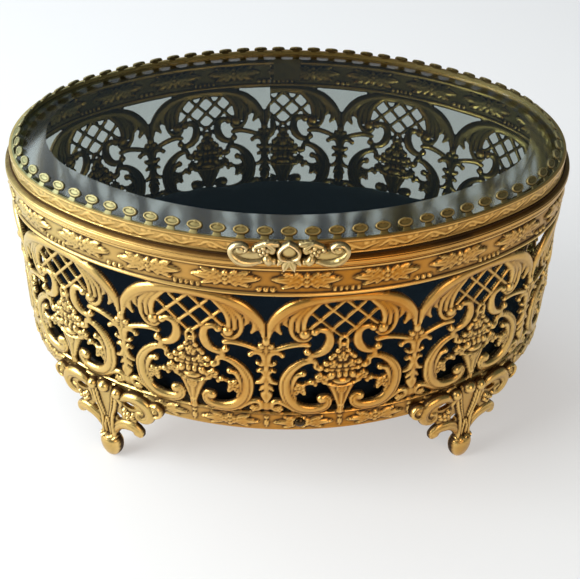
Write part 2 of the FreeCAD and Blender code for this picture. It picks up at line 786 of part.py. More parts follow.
def thumb_clasp():
    """Cast plate with a raised pear at its middle and a round at each end, on a lug to the band."""
    back = -clasp_back.number
    gauge = size.clasp_gauge.number
    low = clasp_bottom.number
    height = size.clasp_height.number
    forward = Vector(0, -1, 0)
    plate = prism([Vector(x, back, z) for x, z in clasp_outline()], forward * gauge)
    boss = size.clasp_boss.number
    middle = Vector(0, back - gauge, low + height * 0.44)
    pear = dome(height * 0.36, boss, middle, forward)
    rounds = [dome(height * 0.3, boss * 0.7, Vector(side * size.clasp_half_width.number * 0.8, back - gauge,
                                                    low + height * 0.55), forward)
              for side in (-1, 1)]
    reach = clasp_back.number - size.lid_half_depth.number - size.fit_gap.number
    lug = Part.makeBox(size.lug_width.number, reach, size.lug_height.number,
                       Vector(-size.lug_width.number / 2, back, (band_bottom + size.lid_gap).number))
    return computed("thumb_clasp", plate.fuse([pear, lug] + rounds).removeSplitter())


def check(features):
    """Stops on any failed feature or unsound solid."""
    for feature in doc.Objects:
        if any(word in feature.State for word in ("Invalid", "Error")):
            raise RuntimeError(f"{feature.Label} failed: {feature.State}")
    for feature in features:
        shape = feature.Shape
        if shape.isNull() or not shape.isValid() or not shape.Solids:
            raise RuntimeError(f"{feature.Label} has no sound solid")


def main():
    parts = [filigree_wall(), body_rim(), base_plate(), base_rivets(), pad_board(), pad_cushion()]
    parts += feet()
    parts += [hinge_body_leaf(), hinge_pin(), lid_band(), glass_seat(), glass_pane(), crown_gallery(),
              thumb_clasp(), hinge_lid_leaf()]
    doc.recompute()
    check(parts)
    os.makedirs("parts", exist_ok=True)
    for feature in parts:
        feature.Shape.exportStep(f"parts/{feature.Label}.step")
        box_found = feature.Shape.BoundBox
        print(f"{feature.Label}: {len(feature.Shape.Solids)} solids, {feature.Shape.Volume:.1f} mm3, "
              f"x {box_found.XMin:.2f} {box_found.XMax:.2f} y {box_found.YMin:.2f} {box_found.YMax:.2f} "
              f"z {box_found.ZMin:.2f} {box_found.ZMax:.2f}")


main()
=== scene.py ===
import math

import bpy
import numpy as np
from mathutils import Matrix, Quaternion, Vector


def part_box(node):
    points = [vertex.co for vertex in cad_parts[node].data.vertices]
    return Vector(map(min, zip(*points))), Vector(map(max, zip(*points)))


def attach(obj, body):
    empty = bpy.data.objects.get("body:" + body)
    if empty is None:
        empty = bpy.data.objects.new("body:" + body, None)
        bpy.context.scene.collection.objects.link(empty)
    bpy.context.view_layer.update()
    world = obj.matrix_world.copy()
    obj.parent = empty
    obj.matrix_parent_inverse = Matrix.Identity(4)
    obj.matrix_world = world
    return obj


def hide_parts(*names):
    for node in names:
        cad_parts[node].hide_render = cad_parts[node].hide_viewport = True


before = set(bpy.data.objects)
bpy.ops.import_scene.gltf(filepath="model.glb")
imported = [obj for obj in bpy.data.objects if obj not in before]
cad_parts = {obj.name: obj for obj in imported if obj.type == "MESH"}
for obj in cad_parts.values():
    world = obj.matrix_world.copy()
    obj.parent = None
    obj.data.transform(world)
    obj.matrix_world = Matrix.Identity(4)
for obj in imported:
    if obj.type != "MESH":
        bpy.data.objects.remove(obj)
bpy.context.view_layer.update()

bl_info = {
    "name": "Oval filigree casket",
    "version": (1, 0, 0),
    "blender": (4, 5, 0),
    "location": "View3D > Sidebar > Casket",
    "description": "Dresses an oval openwork jewelry casket: stamped wall, cast feet, glass lid, velvet pad",
    "category": "Object",
}

MM = 0.001
PHOTO_WIDTH = 580
PHOTO_HEIGHT = 579

# Drawings are in millimetres; one panel of the wall runs from -HALF_PANEL to HALF_PANEL, and a sheet with
# no edge near has the depth SOLID.
HALF_PANEL = 23.0
GROUND_RISE = 0.2
SEAM_GAP = 0.04
SOLID = 2.0
SHARP_ANGLE = math.radians(52)
# Where along X the painted light leaves the gilding warmest, in metres; towards both ends it is painted
# paler.
PAINTED_WARM_MIDDLE_X = 0.02


def millimetres(node):
    """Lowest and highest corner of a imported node, in millimetres."""
    low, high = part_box(node)
    return np.array(low) * 1000, np.array(high) * 1000


WALL_LOW, WALL_HIGH = millimetres("filigree_wall")
BAND_LOW, BAND_HIGH = millimetres("lid_band")
RIM_LOW, RIM_HIGH = millimetres("body_rim")
GALLERY_LOW, GALLERY_HIGH = millimetres("crown_gallery")
PAD_LOW, _ = millimetres("pad_cushion")


def length(name, description, default):
    """A length property, in metres, from millimetres."""
    return bpy.props.FloatProperty(name=name, description=description, default=default * MM, unit="LENGTH",
                                   subtype="DISTANCE", precision=5)


def angle(name, description, degrees):
    return bpy.props.FloatProperty(name=name, description=description, default=math.radians(degrees),
                                   subtype="ANGLE", unit="ROTATION")


def pixels(name, description, default):
    return bpy.props.FloatProperty(name=name, description=description, default=default)


def colour(name, description, default):
    return bpy.props.FloatVectorProperty(name=name, description=description, default=default, size=3,
                                         subtype="COLOR", min=0.0, max=1.0)


class CasketPlan(bpy.types.PropertyGroup):
    """The oval that every ring of the casket follows."""

    half_length: length("Half length", "Half of the lid's length", BAND_HIGH[0])
    half_depth: length("Half depth", "Half of the lid's depth", BAND_HIGH[1])
    end_swell: length("End swell", "Half depth less the radius of the end arcs", 15.0)
    wall_overhang: length("Wall overhang", "How far the wall stands outside the lid", 1.5)


class CasketWall(bpy.types.PropertyGroup):
    """The stamped openwork strip."""

    panel: length("Panel", "Width of one panel of the openwork", 2 * HALF_PANEL)
    seam: length("Seam", "Distance of the strip's seam from the middle of the back", 6.5)
    lead: length("Lead", "Distance from the seam to the first pilaster", 2.4)
    grid: length("Grid", "Spacing of the points that carry the relief", 0.46)
    gauge: length("Gauge", "Thickness of the stamped sheet", 0.55)
    rivet_shift: length("Rivet shift", "Distance of each rivet from its quarter of the oval", 4.0)
    rivet_height: length("Rivet height", "Height of the rivets above the wall's lower edge", 3.4)
    rivet_seat: length("Rivet seat", "Radius of the flat round each rivet", 1.9)
    level: length("Ground", "How far the relief's ground lies outside the lid's outline", 0.75)


class CasketFinish(bpy.types.PropertyGroup):
    """Colours of the metals, glass and velvet."""

    gold: colour("Gold", "Body of the antiqued gilding", (0.50, 0.228, 0.032))
    bright: colour("Bright gold", "Rubbed high points", (0.86, 0.64, 0.25))
    patina: colour("Patina", "Dark in the hollows", (0.055, 0.026, 0.007))
    inside: colour("Inside", "Dulled metal on the inner face", (0.43, 0.35, 0.155))
    pale: colour("Pale gilt", "Worn gilding of the clasp", (0.60, 0.50, 0.25))
    olive: colour("Olive gilt", "Dull gilding of the prongs", (0.21, 0.17, 0.072))
    velvet: colour("Velvet", "Pile of the pad", (0.0009, 0.0050, 0.0115))
    # The pane's dark tint is painted shade: it dims the inside and what lies behind, though the real glass is
    # clear.
    glass: colour("Glass", "Tint of the pane", (0.37, 0.41, 0.385))


class CasketStage(bpy.types.PropertyGroup):
    """Camera and light."""

    elevation: angle("Elevation", "Camera height above the horizon", 37.35)
    azimuth: angle("Azimuth", "Camera turn towards the right", -0.57)
    roll: angle("Roll", "Camera roll", 0.62)
    distance: length("Distance", "Camera to target", 356.7)
    target_height: length("Target height", "Height of the point the camera looks at", 32.06)
    focal: pixels("Focal length", "Focal length in pixels of the picture", 983.0)
    centre_x: pixels("Centre X", "Optical centre, pixels from the left", 286.3)
    centre_y: pixels("Centre Y", "Optical centre, pixels from the top", 289.8)
    floor: colour("Floor", "Pale floor", (0.80, 0.80, 0.80))
    glow: colour("Glow", "What the floor adds of its own, so that it looks white", (0.98, 0.96, 0.945))
    surround: colour("Surround", "Faint light from all round", (0.60, 0.84, 1.0))


class Oval:
    """The plan: four tangent arcs, measured from the middle of the back towards -X, in millimetres."""

    def __init__(self, plan):
        half_length, half_depth = plan.half_length / MM, plan.half_depth / MM
        swell = plan.end_swell / MM
        self.end = half_depth - swell
        self.end_centre = half_length - self.end
        self.side_centre = (self.end_centre ** 2 - swell ** 2) / (2 * swell)
        self.side = half_depth + self.side_centre
        self.lean = math.atan2(self.side_centre, self.end_centre)

    def spans(self, offset):
        """Each arc in turn: its centre, radius, starting angle and sweep."""
        quarter = math.pi / 2 - self.lean
        side, end = self.side + offset, self.end + offset
        return (
            (0, -self.side_centre, side, math.pi / 2, quarter),
            (-self.end_centre, 0, end, math.pi - self.lean, 2 * self.lean),
            (0, self.side_centre, side, math.pi + self.lean, 2 * quarter),
            (self.end_centre, 0, end, -self.lean, 2 * self.lean),
            (0, -self.side_centre, side, self.lean, quarter),
        )

    def length(self, offset):
        return sum(radius * sweep for _, _, radius, _, sweep in self.spans(offset))

    def even(self, count, offset, first=0.0):
        """Distances of evenly spaced places round the oval of that offset."""
        return (np.arange(count) + first) * self.length(offset) / count

    def at(self, distance, offset):
        """Points and outward normals at distances round the oval of that offset."""
        left = np.mod(np.asarray(distance, float), self.length(offset))
        point = np.zeros(left.shape + (2,))
        normal = np.zeros(left.shape + (2,))
        start_run = 0.0
        for x, y, radius, start, sweep in self.spans(offset):
            here = (left >= start_run - 1e-9) & (left <= start_run + radius * sweep + 1e-9)
            angles = start + (left - start_run) / radius
            way = np.stack([np.cos(angles), np.sin(angles)], -1)
            point[here] = (np.array((x, y)) + way * radius)[here]
            normal[here] = way[here]
            start_run += radius * sweep
        return point, normal

    def wrap(self, offset, low, start=0.0):
        """How to lay a flat drawing round the oval, with its depth counted from the lid's outline."""
        def place(along, up, out):
            point, normal = self.at(start + along, offset)
            return np.column_stack([point + normal * (out - offset)[:, None], low + up])
        return place


def dome(ratio):
    """The height of a round back: 1 in its middle, 0 from its edge on."""
    return np.sqrt(np.clip(1 - ratio ** 2, 0, 1))


def soft_line(gap, half):
    """A line that is 1 in its middle and fades to both sides."""
    return np.exp(-(gap / half) ** 2)


class Relief:
    """A stamped sheet drawn on a grid, in millimetres: depth inside the metal and height over its ground."""

    def __init__(self, left, right, low, high, step, rise=None):
        columns = int(round((right - left) / step)) + 1
        rows = int(round((high - low) / (rise or step))) + 1
        self.up = np.linspace(low, high, rows)
        self.u, self.v = np.meshgrid(np.linspace(left, right, columns), self.up, indexing="ij")
        self.inside = np.full(self.u.shape, -4.0)
        self.height = np.zeros(self.u.shape)

    def add(self, inside, height):
        self.height = np.where(inside > 0, np.maximum(self.height, height), self.height)
        self.inside = np.maximum(self.inside, inside)

    def near(self, points):
        """Distance to a smooth curve through points, the share of it passed, and the side."""
        line = smooth_line(points)
        best = np.full(self.u.shape, 99.0)
        reach = np.zeros(self.u.shape)
        side = np.zeros(self.u.shape)
        steps = np.hypot(*np.diff(line, axis=0).T)
        run = 0.0
        for start, stop, span in zip(line[:-1], line[1:], steps):
            way = (stop - start) / max(span, 1e-9)
            du, dv = self.u - start[0], self.v - start[1]
            along = np.clip(du * way[0] + dv * way[1], 0, span)
            eu, ev = du - along * way[0], dv - along * way[1]
            gap = np.hypot(eu, ev)
            closer = gap < best
            best = np.where(closer, gap, best)
            reach = np.where(closer, (run + along) / steps.sum(), reach)
            side = np.where(closer, np.sign(way[0] * ev - way[1] * eu), side)
            run += span
        return best, reach, side

    def turned(self, u, v, turn):
        """Distances from a point, along a direction in degrees and across it."""
        cos, sin = math.cos(math.radians(turn)), math.sin(math.radians(turn))
        du, dv = self.u - u, self.v - v
        return du * cos + dv * sin, dv * cos - du * sin

    def ratio(self, u, v, radius, stretch, turn):
        """Distance from the middle of an oval, with 1 at its edge."""
        along, aside = self.turned(u, v, turn)
        return np.hypot(along / stretch, aside) / radius

    def stroke(self, points, widths, height, groove=0.0, lines=(0.0,)):
        """A round-backed scroll whose half width runs through widths, with lines cut along it."""
        gap, reach, side = self.near(points)
        half = np.interp(reach, np.linspace(0, 1, len(widths)), widths)
        ratio = np.clip(gap / half, 0, 1)
        shape = height * dome(ratio) * np.clip(half / max(widths), 0.6, 1)
        for place in lines:
            shape = shape - groove * soft_line(side * ratio - place, 0.17)
        self.add(half - gap, shape)

    def knob(self, u, v, radius, height, stretch=1.0, turn=0.0):
        """A round or oval boss."""
        ratio = self.ratio(u, v, radius, stretch, turn)
        self.add((1 - ratio) * radius, height * dome(ratio))

    def blossom(self, u, v, radius, height, petals=5, turn=0.0, heart=0.34):
        """A flower: round petals about a raised heart, over a thin ground."""
        self.knob(u, v, radius * 0.75, height * 0.45)
        reach = radius * 0.58
        for petal in range(petals):
            way = math.radians(turn) + petal * 2 * math.pi / petals
            self.knob(u + reach * math.cos(way), v + reach * math.sin(way), radius * 0.44, height * 0.8)
        self.knob(u, v, radius * heart, height)

    def leaf(self, u, v, long, wide, height, turn, vein=0.3):
        """A pointed leaf with a midrib, springing from a point."""
        along, aside = self.turned(u, v, turn)
        share, aside = along / long, np.abs(aside)
        half = wide * np.sin(np.pi * np.clip(share, 0, 1) ** 0.75) ** 0.8 + 1e-6
        ratio = aside / half
        body = np.where((share > 0) & (share < 1), half - aside, -2.0)
        self.add(body, np.clip(height * dome(ratio) - vein * soft_line(ratio, 0.2), 0.1, None))

    def opening(self, u, v, radius, stretch=1.0, turn=0.0):
        """Cuts an oval hole in what is drawn so far."""
        self.inside = np.minimum(self.inside, (self.ratio(u, v, radius, stretch, turn) - 1) * radius)

    def band(self, low, high, height):
        """A plain level strip."""
        self.add(np.minimum(self.v - low, high - self.v), np.full(self.u.shape, height))

    def mirror(self):
        """Adds the other half of a drawing that is centred on its grid."""
        self.inside = np.maximum(self.inside, self.inside[::-1])
        self.height = np.maximum(self.height, self.height[::-1])


def smooth_line(points, count=9):
    """A curve that passes through every point."""
    p = np.asarray(points, float)
    p = np.vstack([2 * p[0] - p[1], p, 2 * p[-1] - p[-2]])
    t = np.linspace(0, 1, count, endpoint=False)[:, None]
    spans = [0.5 * (2 * b + (c - a) * t + (2 * a - 5 * b + 4 * c - d) * t ** 2
                    + (3 * b - a - 3 * c + d) * t ** 3)
             for a, b, c, d in zip(p[:-3], p[1:-2], p[2:-1], p[3:])]
    return np.vstack(spans + [p[-2:-1]])


def softened(values, rounds, closed=False):
    """Values averaged with their neighbours, several times over."""
    for _ in range(rounds):
        wide = np.pad(values, ((1, 1), (0, 0)), mode="wrap" if closed else "edge")
        values = (wide[:-2] + wide[1:-1] * 2 + wide[2:]) / 4
        tall = np.pad(values, ((0, 0), (1, 1)), mode="edge")
        values = (tall[:, :-2] + tall[:, 1:-1] * 2 + tall[:, 2:]) / 4
    return values


def wear_of(height, rounds=3, closed=False):
    """How deep each point lies in a hollow, and how far it stands out to be rubbed, from 0 to 1."""
    hollow_depth, rubbed_rise, rubbed_height = 0.20, 0.22, 0.7
    soft = softened(height, rounds, closed)
    hollow = np.clip((soft - height) / hollow_depth, 0, 1)
    worn = np.clip((height - soft) / rubbed_rise, 0, 1) * np.clip(height / rubbed_height, 0, 1)
    return hollow, worn


def quad_mesh(name, corners, faces, inner, layers):
    """A mesh of four-sided faces from arrays in millimetres; inner marks the faces of the second finish."""
    mesh = bpy.data.meshes.new(name)
    mesh.vertices.add(len(corners))
    mesh.vertices.foreach_set("co", np.ascontiguousarray(corners * MM, dtype=np.float32).ravel())
    mesh.loops.add(faces.size)
    mesh.loops.foreach_set("vertex_index", faces.astype(np.int32).ravel())
    mesh.polygons.add(len(faces))
    mesh.polygons.foreach_set("loop_start", np.arange(0, faces.size, 4, dtype=np.int32))
    mesh.polygons.foreach_set("material_index", inner.astype(np.int32))
    mesh.polygons.foreach_set("use_smooth", np.ones(len(faces), dtype=bool))
    mesh.update(calc_edges=True)
    mesh.validate()
    for layer, values in layers.items():
        store = mesh.attributes.new(layer, "FLOAT", "POINT")
        store.data.foreach_set("value", np.ascontiguousarray(values, dtype=np.float32))
    mesh.set_sharp_from_angle(angle=SHARP_ANGLE)
    return mesh


def sheet_arrays(u, v, inside, front, back, place, wear, closed=False):
    """A closed sheet from a drawn relief: its corners, faces, inner faces and wear."""
    inside, front, back, hollow, worn = (np.broadcast_to(item, u.shape)
                                         for item in (inside, front, back, *wear))
    metal = inside > 0
    columns, rows = metal.shape
    wide = np.concatenate([metal, metal[:1]]) if closed else metal
    kept = wide[:-1, :-1] | wide[1:, :-1] | wide[:-1, 1:] | wide[1:, 1:]

    # Corners just off the metal are drawn in to its edge.
    step_u, step_v = u[1, 0] - u[0, 0], v[0, 1] - v[0, 0]
    slope_u, slope_v = np.gradient(inside, step_u, step_v)
    pull = np.where(metal, 0.0, -inside / np.maximum(slope_u ** 2 + slope_v ** 2, 0.2))
    most_u, most_v = 0.9 * step_u, 0.9 * step_v
    moved_u = u + np.clip(pull * slope_u, -most_u, most_u)
    moved_v = np.clip(v + np.clip(pull * slope_v, -most_v, most_v), v.min(), v.max())

    # The front, the back, then a wall wherever a cell has no neighbour.
    cell_i, cell_j = np.nonzero(kept)
    next_i = (cell_i + 1) % columns
    grid = np.arange(columns * rows).reshape(columns, rows)
    quads = np.stack([grid[cell_i, cell_j], grid[next_i, cell_j],
                      grid[next_i, cell_j + 1], grid[cell_i, cell_j + 1]], 1)
    used, flat = np.unique(quads, return_inverse=True)
    quads = flat.reshape(quads.shape)
    count = len(used)
    faces = [quads, quads[:, ::-1] + count]
    inner = [np.zeros(len(quads)), np.ones(len(quads))]
    around = np.pad(kept, ((1, 1), (1, 1)))
    if closed:
        around[0, 1:-1] = kept[-1]
        around[-1, 1:-1] = kept[0]
    for first, second, di, dj in ((0, 1, 0, -1), (1, 2, 1, 0), (2, 3, 0, 1), (3, 0, -1, 0)):
        open_side = ~around[cell_i + 1 + di, cell_j + 1 + dj]
        a, b = quads[open_side, first], quads[open_side, second]
        faces.append(np.stack([b, a, a + count, b + count], 1))
        inner.append(np.zeros(len(a)))
    across, up = moved_u.ravel()[used], moved_v.ravel()[used]
    corners = np.concatenate([place(across, up, side.ravel()[used]) for side in (front, back)])
    layers = {"hollow": np.tile(hollow.ravel()[used], 2), "worn": np.tile(worn.ravel()[used], 2)}
    return corners, np.concatenate(faces), np.concatenate(inner), layers


def joined(parts):
    """Several sheets' arrays as one."""
    corners, faces, inner, layers = zip(*parts)
    starts = np.cumsum([0] + [len(part) for part in corners[:-1]])
    faces = [part + start for part, start in zip(faces, starts)]
    return (np.concatenate(corners), np.concatenate(faces), np.concatenate(inner),
            {layer: np.concatenate([part[layer] for part in layers]) for layer in layers[0]})


def add_piece(name, arrays, finishes, body, node):
    """A new piece of the casket, with its outer and inner finish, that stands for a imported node."""
    piece = bpy.data.objects.new(name, quad_mesh(name, *arrays))
    bpy.context.collection.objects.link(piece)
    for finish in finishes:
        piece.data.materials.append(bpy.data.materials[finish])
    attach(piece, body)
    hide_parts(node)


def dress(node, finish):
    """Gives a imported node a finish."""
    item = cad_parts[node]
    item.data.materials.clear()
    item.data.materials.append(bpy.data.materials[finish])


class Value:
    """A shader value that can stand in a sum."""

    def __init__(self, socket):
        self.socket = socket

    def combine(self, operation, first, second):
        node = self.socket.id_data.nodes.new("ShaderNodeMath")
        node.operation = operation
        for entry, value in zip(node.inputs, (first, second)):
            fill(entry, value)
        return Value(node.outputs[0])

    def __add__(self, other):
        return self.combine("ADD", self, other)

    def __sub__(self, other):
        return self.combine("SUBTRACT", self, other)

    def __rsub__(self, other):
        return self.combine("SUBTRACT", other, self)

    def __mul__(self, other):
        return self.combine("MULTIPLY", self, other)

    def __lt__(self, other):
        return self.combine("LESS_THAN", self, other)

    def __abs__(self):
        return self.combine("ABSOLUTE", self, 0.0)

    __radd__ = __add__
    __rmul__ = __mul__

    def held(self):
        """The same value kept from 0 to 1."""
        value = self + 0.0
        value.socket.node.use_clamp = True
        return value


def fill(entry, value):
    """Links or sets one socket."""
    if isinstance(value, Value):
        entry.id_data.links.new(value.socket, entry)
    elif isinstance(value, tuple) and len(value) == 3 and entry.type == "RGBA":
        entry.default_value = (*value, 1.0)
    else:
        entry.default_value = value


class Finish:
    """One material and the nodes that make it."""

    def __init__(self, name):
        self.material = bpy.data.materials.new(name)
        self.material.use_nodes = True
        self.tree = self.material.node_tree
        self.shader = self.tree.nodes["Principled BSDF"]

    def node(self, kind, inputs=None, output=0, **settings):
        """Any node: its settings first, then the values or links of its sockets."""
        node = self.tree.nodes.new(kind)
        for key, value in settings.items():
            setattr(node, key, value)
        for key, value in (inputs or {}).items():
            fill(node.inputs[key], value)
        return Value(node.outputs[output])

    def mix(self, share, first, second):
        """A colour between two."""
        return self.node("ShaderNodeMix", {0: share, 6: first, 7: second}, 2, data_type="RGBA")

    def noise(self, scale, detail=3.0, rough=0.55):
        place = self.node("ShaderNodeTexCoord", output="Object")
        return self.node("ShaderNodeTexNoise", {"Vector": place, "Scale": scale, "Detail": detail,
                                                "Roughness": rough})

    def part(self, kind, axis):
        """One part of a place or a direction in the object's own frame."""
        return self.node("ShaderNodeSeparateXYZ", {0: self.node("ShaderNodeTexCoord", output=kind)}, axis)

    def layer(self, name):
        return self.node("ShaderNodeAttribute", output="Fac", attribute_name=name)

    def bump(self, strength, distance, height):
        return self.node("ShaderNodeBump", {"Strength": strength, "Distance": distance, "Height": height})

    def surface(self, **values):
        """Sets the shader's sockets; underscores stand for spaces."""
        for key, value in values.items():
            fill(self.shader.inputs[key.replace("_", " ")], value)

    def overlay(self, share, other):
        """Shows a share of another shader in place of the main one."""
        both = self.node("ShaderNodeMixShader", {0: share, 1: Value(self.shader.outputs[0]), 2: other})
        self.tree.links.new(both.socket, self.tree.nodes["Material Output"].inputs["Surface"])


def gilt(name, body, bright, patina, roughness=0.30, stain=0.35):
    """Antiqued gilding: rubbed on the high points, brown in the hollows, with random tone, and painted light
    that makes it paler towards both ends and warmer in the middle.
    """
    finish = Finish(name)
    hollow, worn = finish.layer("hollow"), finish.layer("worn")
    cloud = finish.noise(46.0, 4.0)
    grain = finish.noise(620.0, 3.0)
    # Painted light: the gilding is painted paler and yellower towards both ends and warmer in the middle, as
    # if lit from the side; the noise adds random tone.
    aside = abs(finish.part("Object", 0) - PAINTED_WARM_MIDDLE_X)
    painted_light_and_tone = (0.9 * finish.noise(14.0, 2.0) - 0.50 + 8.6 * aside).held()
    painted_lit_end_ground = tuple(share * (0.3 * channel + 0.7 * light)
                  for share, channel, light in zip((0.95, 1.12, 1.2), body, bright))
    painted_warm_middle_ground = (body[0] * 0.97, body[1] * 0.82, body[2] * 0.6)
    painted_warm_middle_rub = (bright[0], bright[1] * 0.80, bright[2] * 0.58)
    ground = finish.mix(painted_light_and_tone, painted_warm_middle_ground, painted_lit_end_ground)
    high = finish.mix(painted_light_and_tone, painted_warm_middle_rub, bright)
    speck = finish.node("ShaderNodeMapRange", {"Value": cloud, "From Min": 0.52, "From Max": 0.72})
    dark = (hollow * 1.15 + speck * stain * (1 - worn) + (grain - 0.5) * 0.25).held()
    rubbed = (worn * 0.85 + (cloud - 0.5) * 0.5).held()
    finish.surface(Base_Color=finish.mix(dark, finish.mix(rubbed, ground, high), patina),
                   Metallic=1 - 0.25 * dark, Normal=finish.bump(0.12, 0.00012, grain),
                   Roughness=(roughness + 0.30 * dark + 0.12 * (grain - 0.5)).held())


def clear_glass(name, tint):
    """Polished glass with a softer bevel, which lets lamps through to what is behind it; its dark tint is
    painted shade over what is seen through it.
    """
    finish = Finish(name)
    bevel = abs(finish.part("Normal", 2)) < 0.99
    smear = finish.noise(90.0, 3.0)
    finish.surface(Base_Color=tint, Roughness=0.01 + 0.02 * smear + 0.13 * bevel, IOR=1.3,
                   Transmission_Weight=1.0)
    lamp = finish.node("ShaderNodeLightPath", output="Is Shadow Ray")
    # The lamps pass through the same painted shade tint, a share at each face.
    shade_tint_per_face = tuple(math.sqrt(channel) for channel in tint)
    finish.overlay(lamp, finish.node("ShaderNodeBsdfTransparent", {"Color": shade_tint_per_face}))


def velvet(name, pile):
    """Short dark pile, brushed in soft patches."""
    finish = Finish(name)
    brushed = finish.noise(38.0, 3.0)
    tuft = finish.noise(1500.0, 2.0)
    light = tuple(min(1.0, channel * 2.0 + 0.002) for channel in pile)
    base = finish.mix((brushed * 0.8 + (tuft - 0.5) * 0.7 - 0.15).held(), pile, light)
    finish.surface(Base_Color=base, Roughness=0.9, Sheen_Weight=0.10, Sheen_Roughness=0.4,
                   Sheen_Tint=(0.30, 0.46, 0.54), Specular_IOR_Level=0.2,
                   Normal=finish.bump(0.35, 0.0004, tuft))


def card(name, tone):
    """Grey-brown pressed card with short fibres."""
    finish = Finish(name)
    fibre = finish.noise(260.0, 5.0, 0.7)
    base = finish.mix((fibre * 1.2 - 0.2).held(), tone, tuple(channel * 0.55 for channel in tone))
    finish.surface(Base_Color=base, Roughness=0.92)


def drawn_steel(name):
    """Plain drawn wire."""
    finish = Finish(name)
    grain = finish.noise(800.0, 2.0)
    base = finish.mix(grain, (0.42, 0.40, 0.37), (0.58, 0.56, 0.53))
    finish.surface(Base_Color=base, Metallic=1.0, Roughness=0.28 + 0.15 * grain)


def draw_arch(r):
    """The arch over a panel, with the leaves that curl in from it."""
    r.stroke([(-22.3, 37.2), (-21.3, 42.0), (-18.9, 45.7), (-15.6, 48.6), (-11.7, 50.3), (-6.7, 51.4),
              (0, 51.8)], (0.5, 1.6, 2.0, 2.1, 1.9, 1.5, 1.3), 1.3, groove=0.14, lines=(-0.45,))
    r.stroke([(-12.3, 48.8), (-15.1, 45.1), (-15.8, 41.5), (-15.1, 38.4), (-13.3, 36.6), (-11.3, 36.5),
              (-10.0, 37.6)], (1.3, 1.2, 0.95, 0.85, 0.75, 0.75, 0.6), 0.95)
    r.stroke([(-10.7, 49.1), (-13.0, 45.9), (-13.7, 42.8), (-13.6, 40.0)], (1.4, 1.25, 1.05, 0.7), 1.0)
    r.stroke([(-8.0, 50.0), (-10.7, 47.1), (-11.9, 44.0), (-12.0, 40.7)], (1.0, 1.2, 1.1, 0.8), 1.1)
    r.knob(-11.7, 38.9, 1.75, 1.4)
    r.stroke([(-17.6, 45.6), (-17.6, 43.4), (-16.9, 42.0)], (1.5, 1.1, 0.5), 0.85)
    r.stroke([(-20.0, 43.0), (-19.8, 41.0), (-18.7, 39.0)], (1.3, 1.1, 0.5), 0.85)


def draw_lattice(r):
    """Crossed bars under the arch."""
    pitch, thick, waist = 7.1, 0.55, 40.2
    under_arch = (r.u / 12.2) ** 2 + ((r.v - 39.5) / 11.8) ** 2 < 1
    over_scrolls = r.v > 40.6 - np.clip(6.5 - np.abs(r.u), 0, 3.4)
    for bar in (-1.5, -0.5, 0.5, 1.5):
        for lean in (1, -1):
            gap = np.abs(r.u - bar * pitch - lean * (r.v - waist)) / math.sqrt(2)
            r.add(np.where(under_arch & over_scrolls, thick - gap, -1.0), 0.55 * dome(gap / thick))
    for u, v in ((0, 43.75), (-3.55, 47.3), (-7.1, 43.75), (-3.55, 40.2)):
        r.knob(u, v, 0.8, 0.65)


def draw_scrolls(r):
    """The link to the pilaster, the small scroll and the large one."""
    r.stroke([(-21.5, 32.6), (-19.0, 33.4), (-16.6, 34.3), (-13.3, 35.0), (-10.4, 34.6)],
             (0.8, 0.85, 0.9, 0.95, 0.8), 0.9)
    r.stroke([(-8.7, 39.6), (-7.0, 40.3), (-5.1, 39.5), (-4.2, 37.3), (-4.5, 34.4), (-6.0, 32.0),
              (-8.0, 30.9), (-9.7, 30.9), (-10.8, 32.0)],
             (0.95, 1.1, 1.2, 1.4, 1.6, 1.55, 1.25, 1.05, 0.9), 1.2)
    r.stroke([(-9.6, 30.6), (-9.8, 29.0)], (1.0, 1.1), 0.8)
    r.stroke([(-6.7, 25.4), (-8.1, 25.9), (-8.2, 27.6), (-9.6, 28.5), (-12.5, 27.5), (-15.4, 24.9),
              (-17.2, 21.1), (-17.3, 17.0), (-16.2, 13.0), (-13.8, 10.0), (-10.7, 8.7), (-7.4, 8.7),
              (-4.9, 9.7), (-4.0, 11.6), (-4.8, 13.1), (-6.1, 13.0)],
             (0.9, 0.9, 1.0, 1.2, 1.4, 1.7, 1.9, 2.0, 2.0, 2.0, 2.0, 1.9, 1.7, 1.6, 1.5, 1.4), 1.35,
             groove=0.3, lines=(-0.35,))
    r.stroke([(-12.0, 23.4), (-13.8, 22.7), (-15.0, 19.9), (-15.2, 16.5), (-14.0, 13.2)],
             (0.9, 1.0, 0.9, 0.8, 0.5), 1.05)
    for end in ((-8.7, 39.5, 1.25, 1.2), (-10.8, 32.0, 1.25, 1.2), (-11.9, 23.5, 1.15, 1.2),
                (-6.9, 25.6, 1.3, 1.2), (-5.9, 12.8, 1.7, 1.3)):
        r.knob(*end)


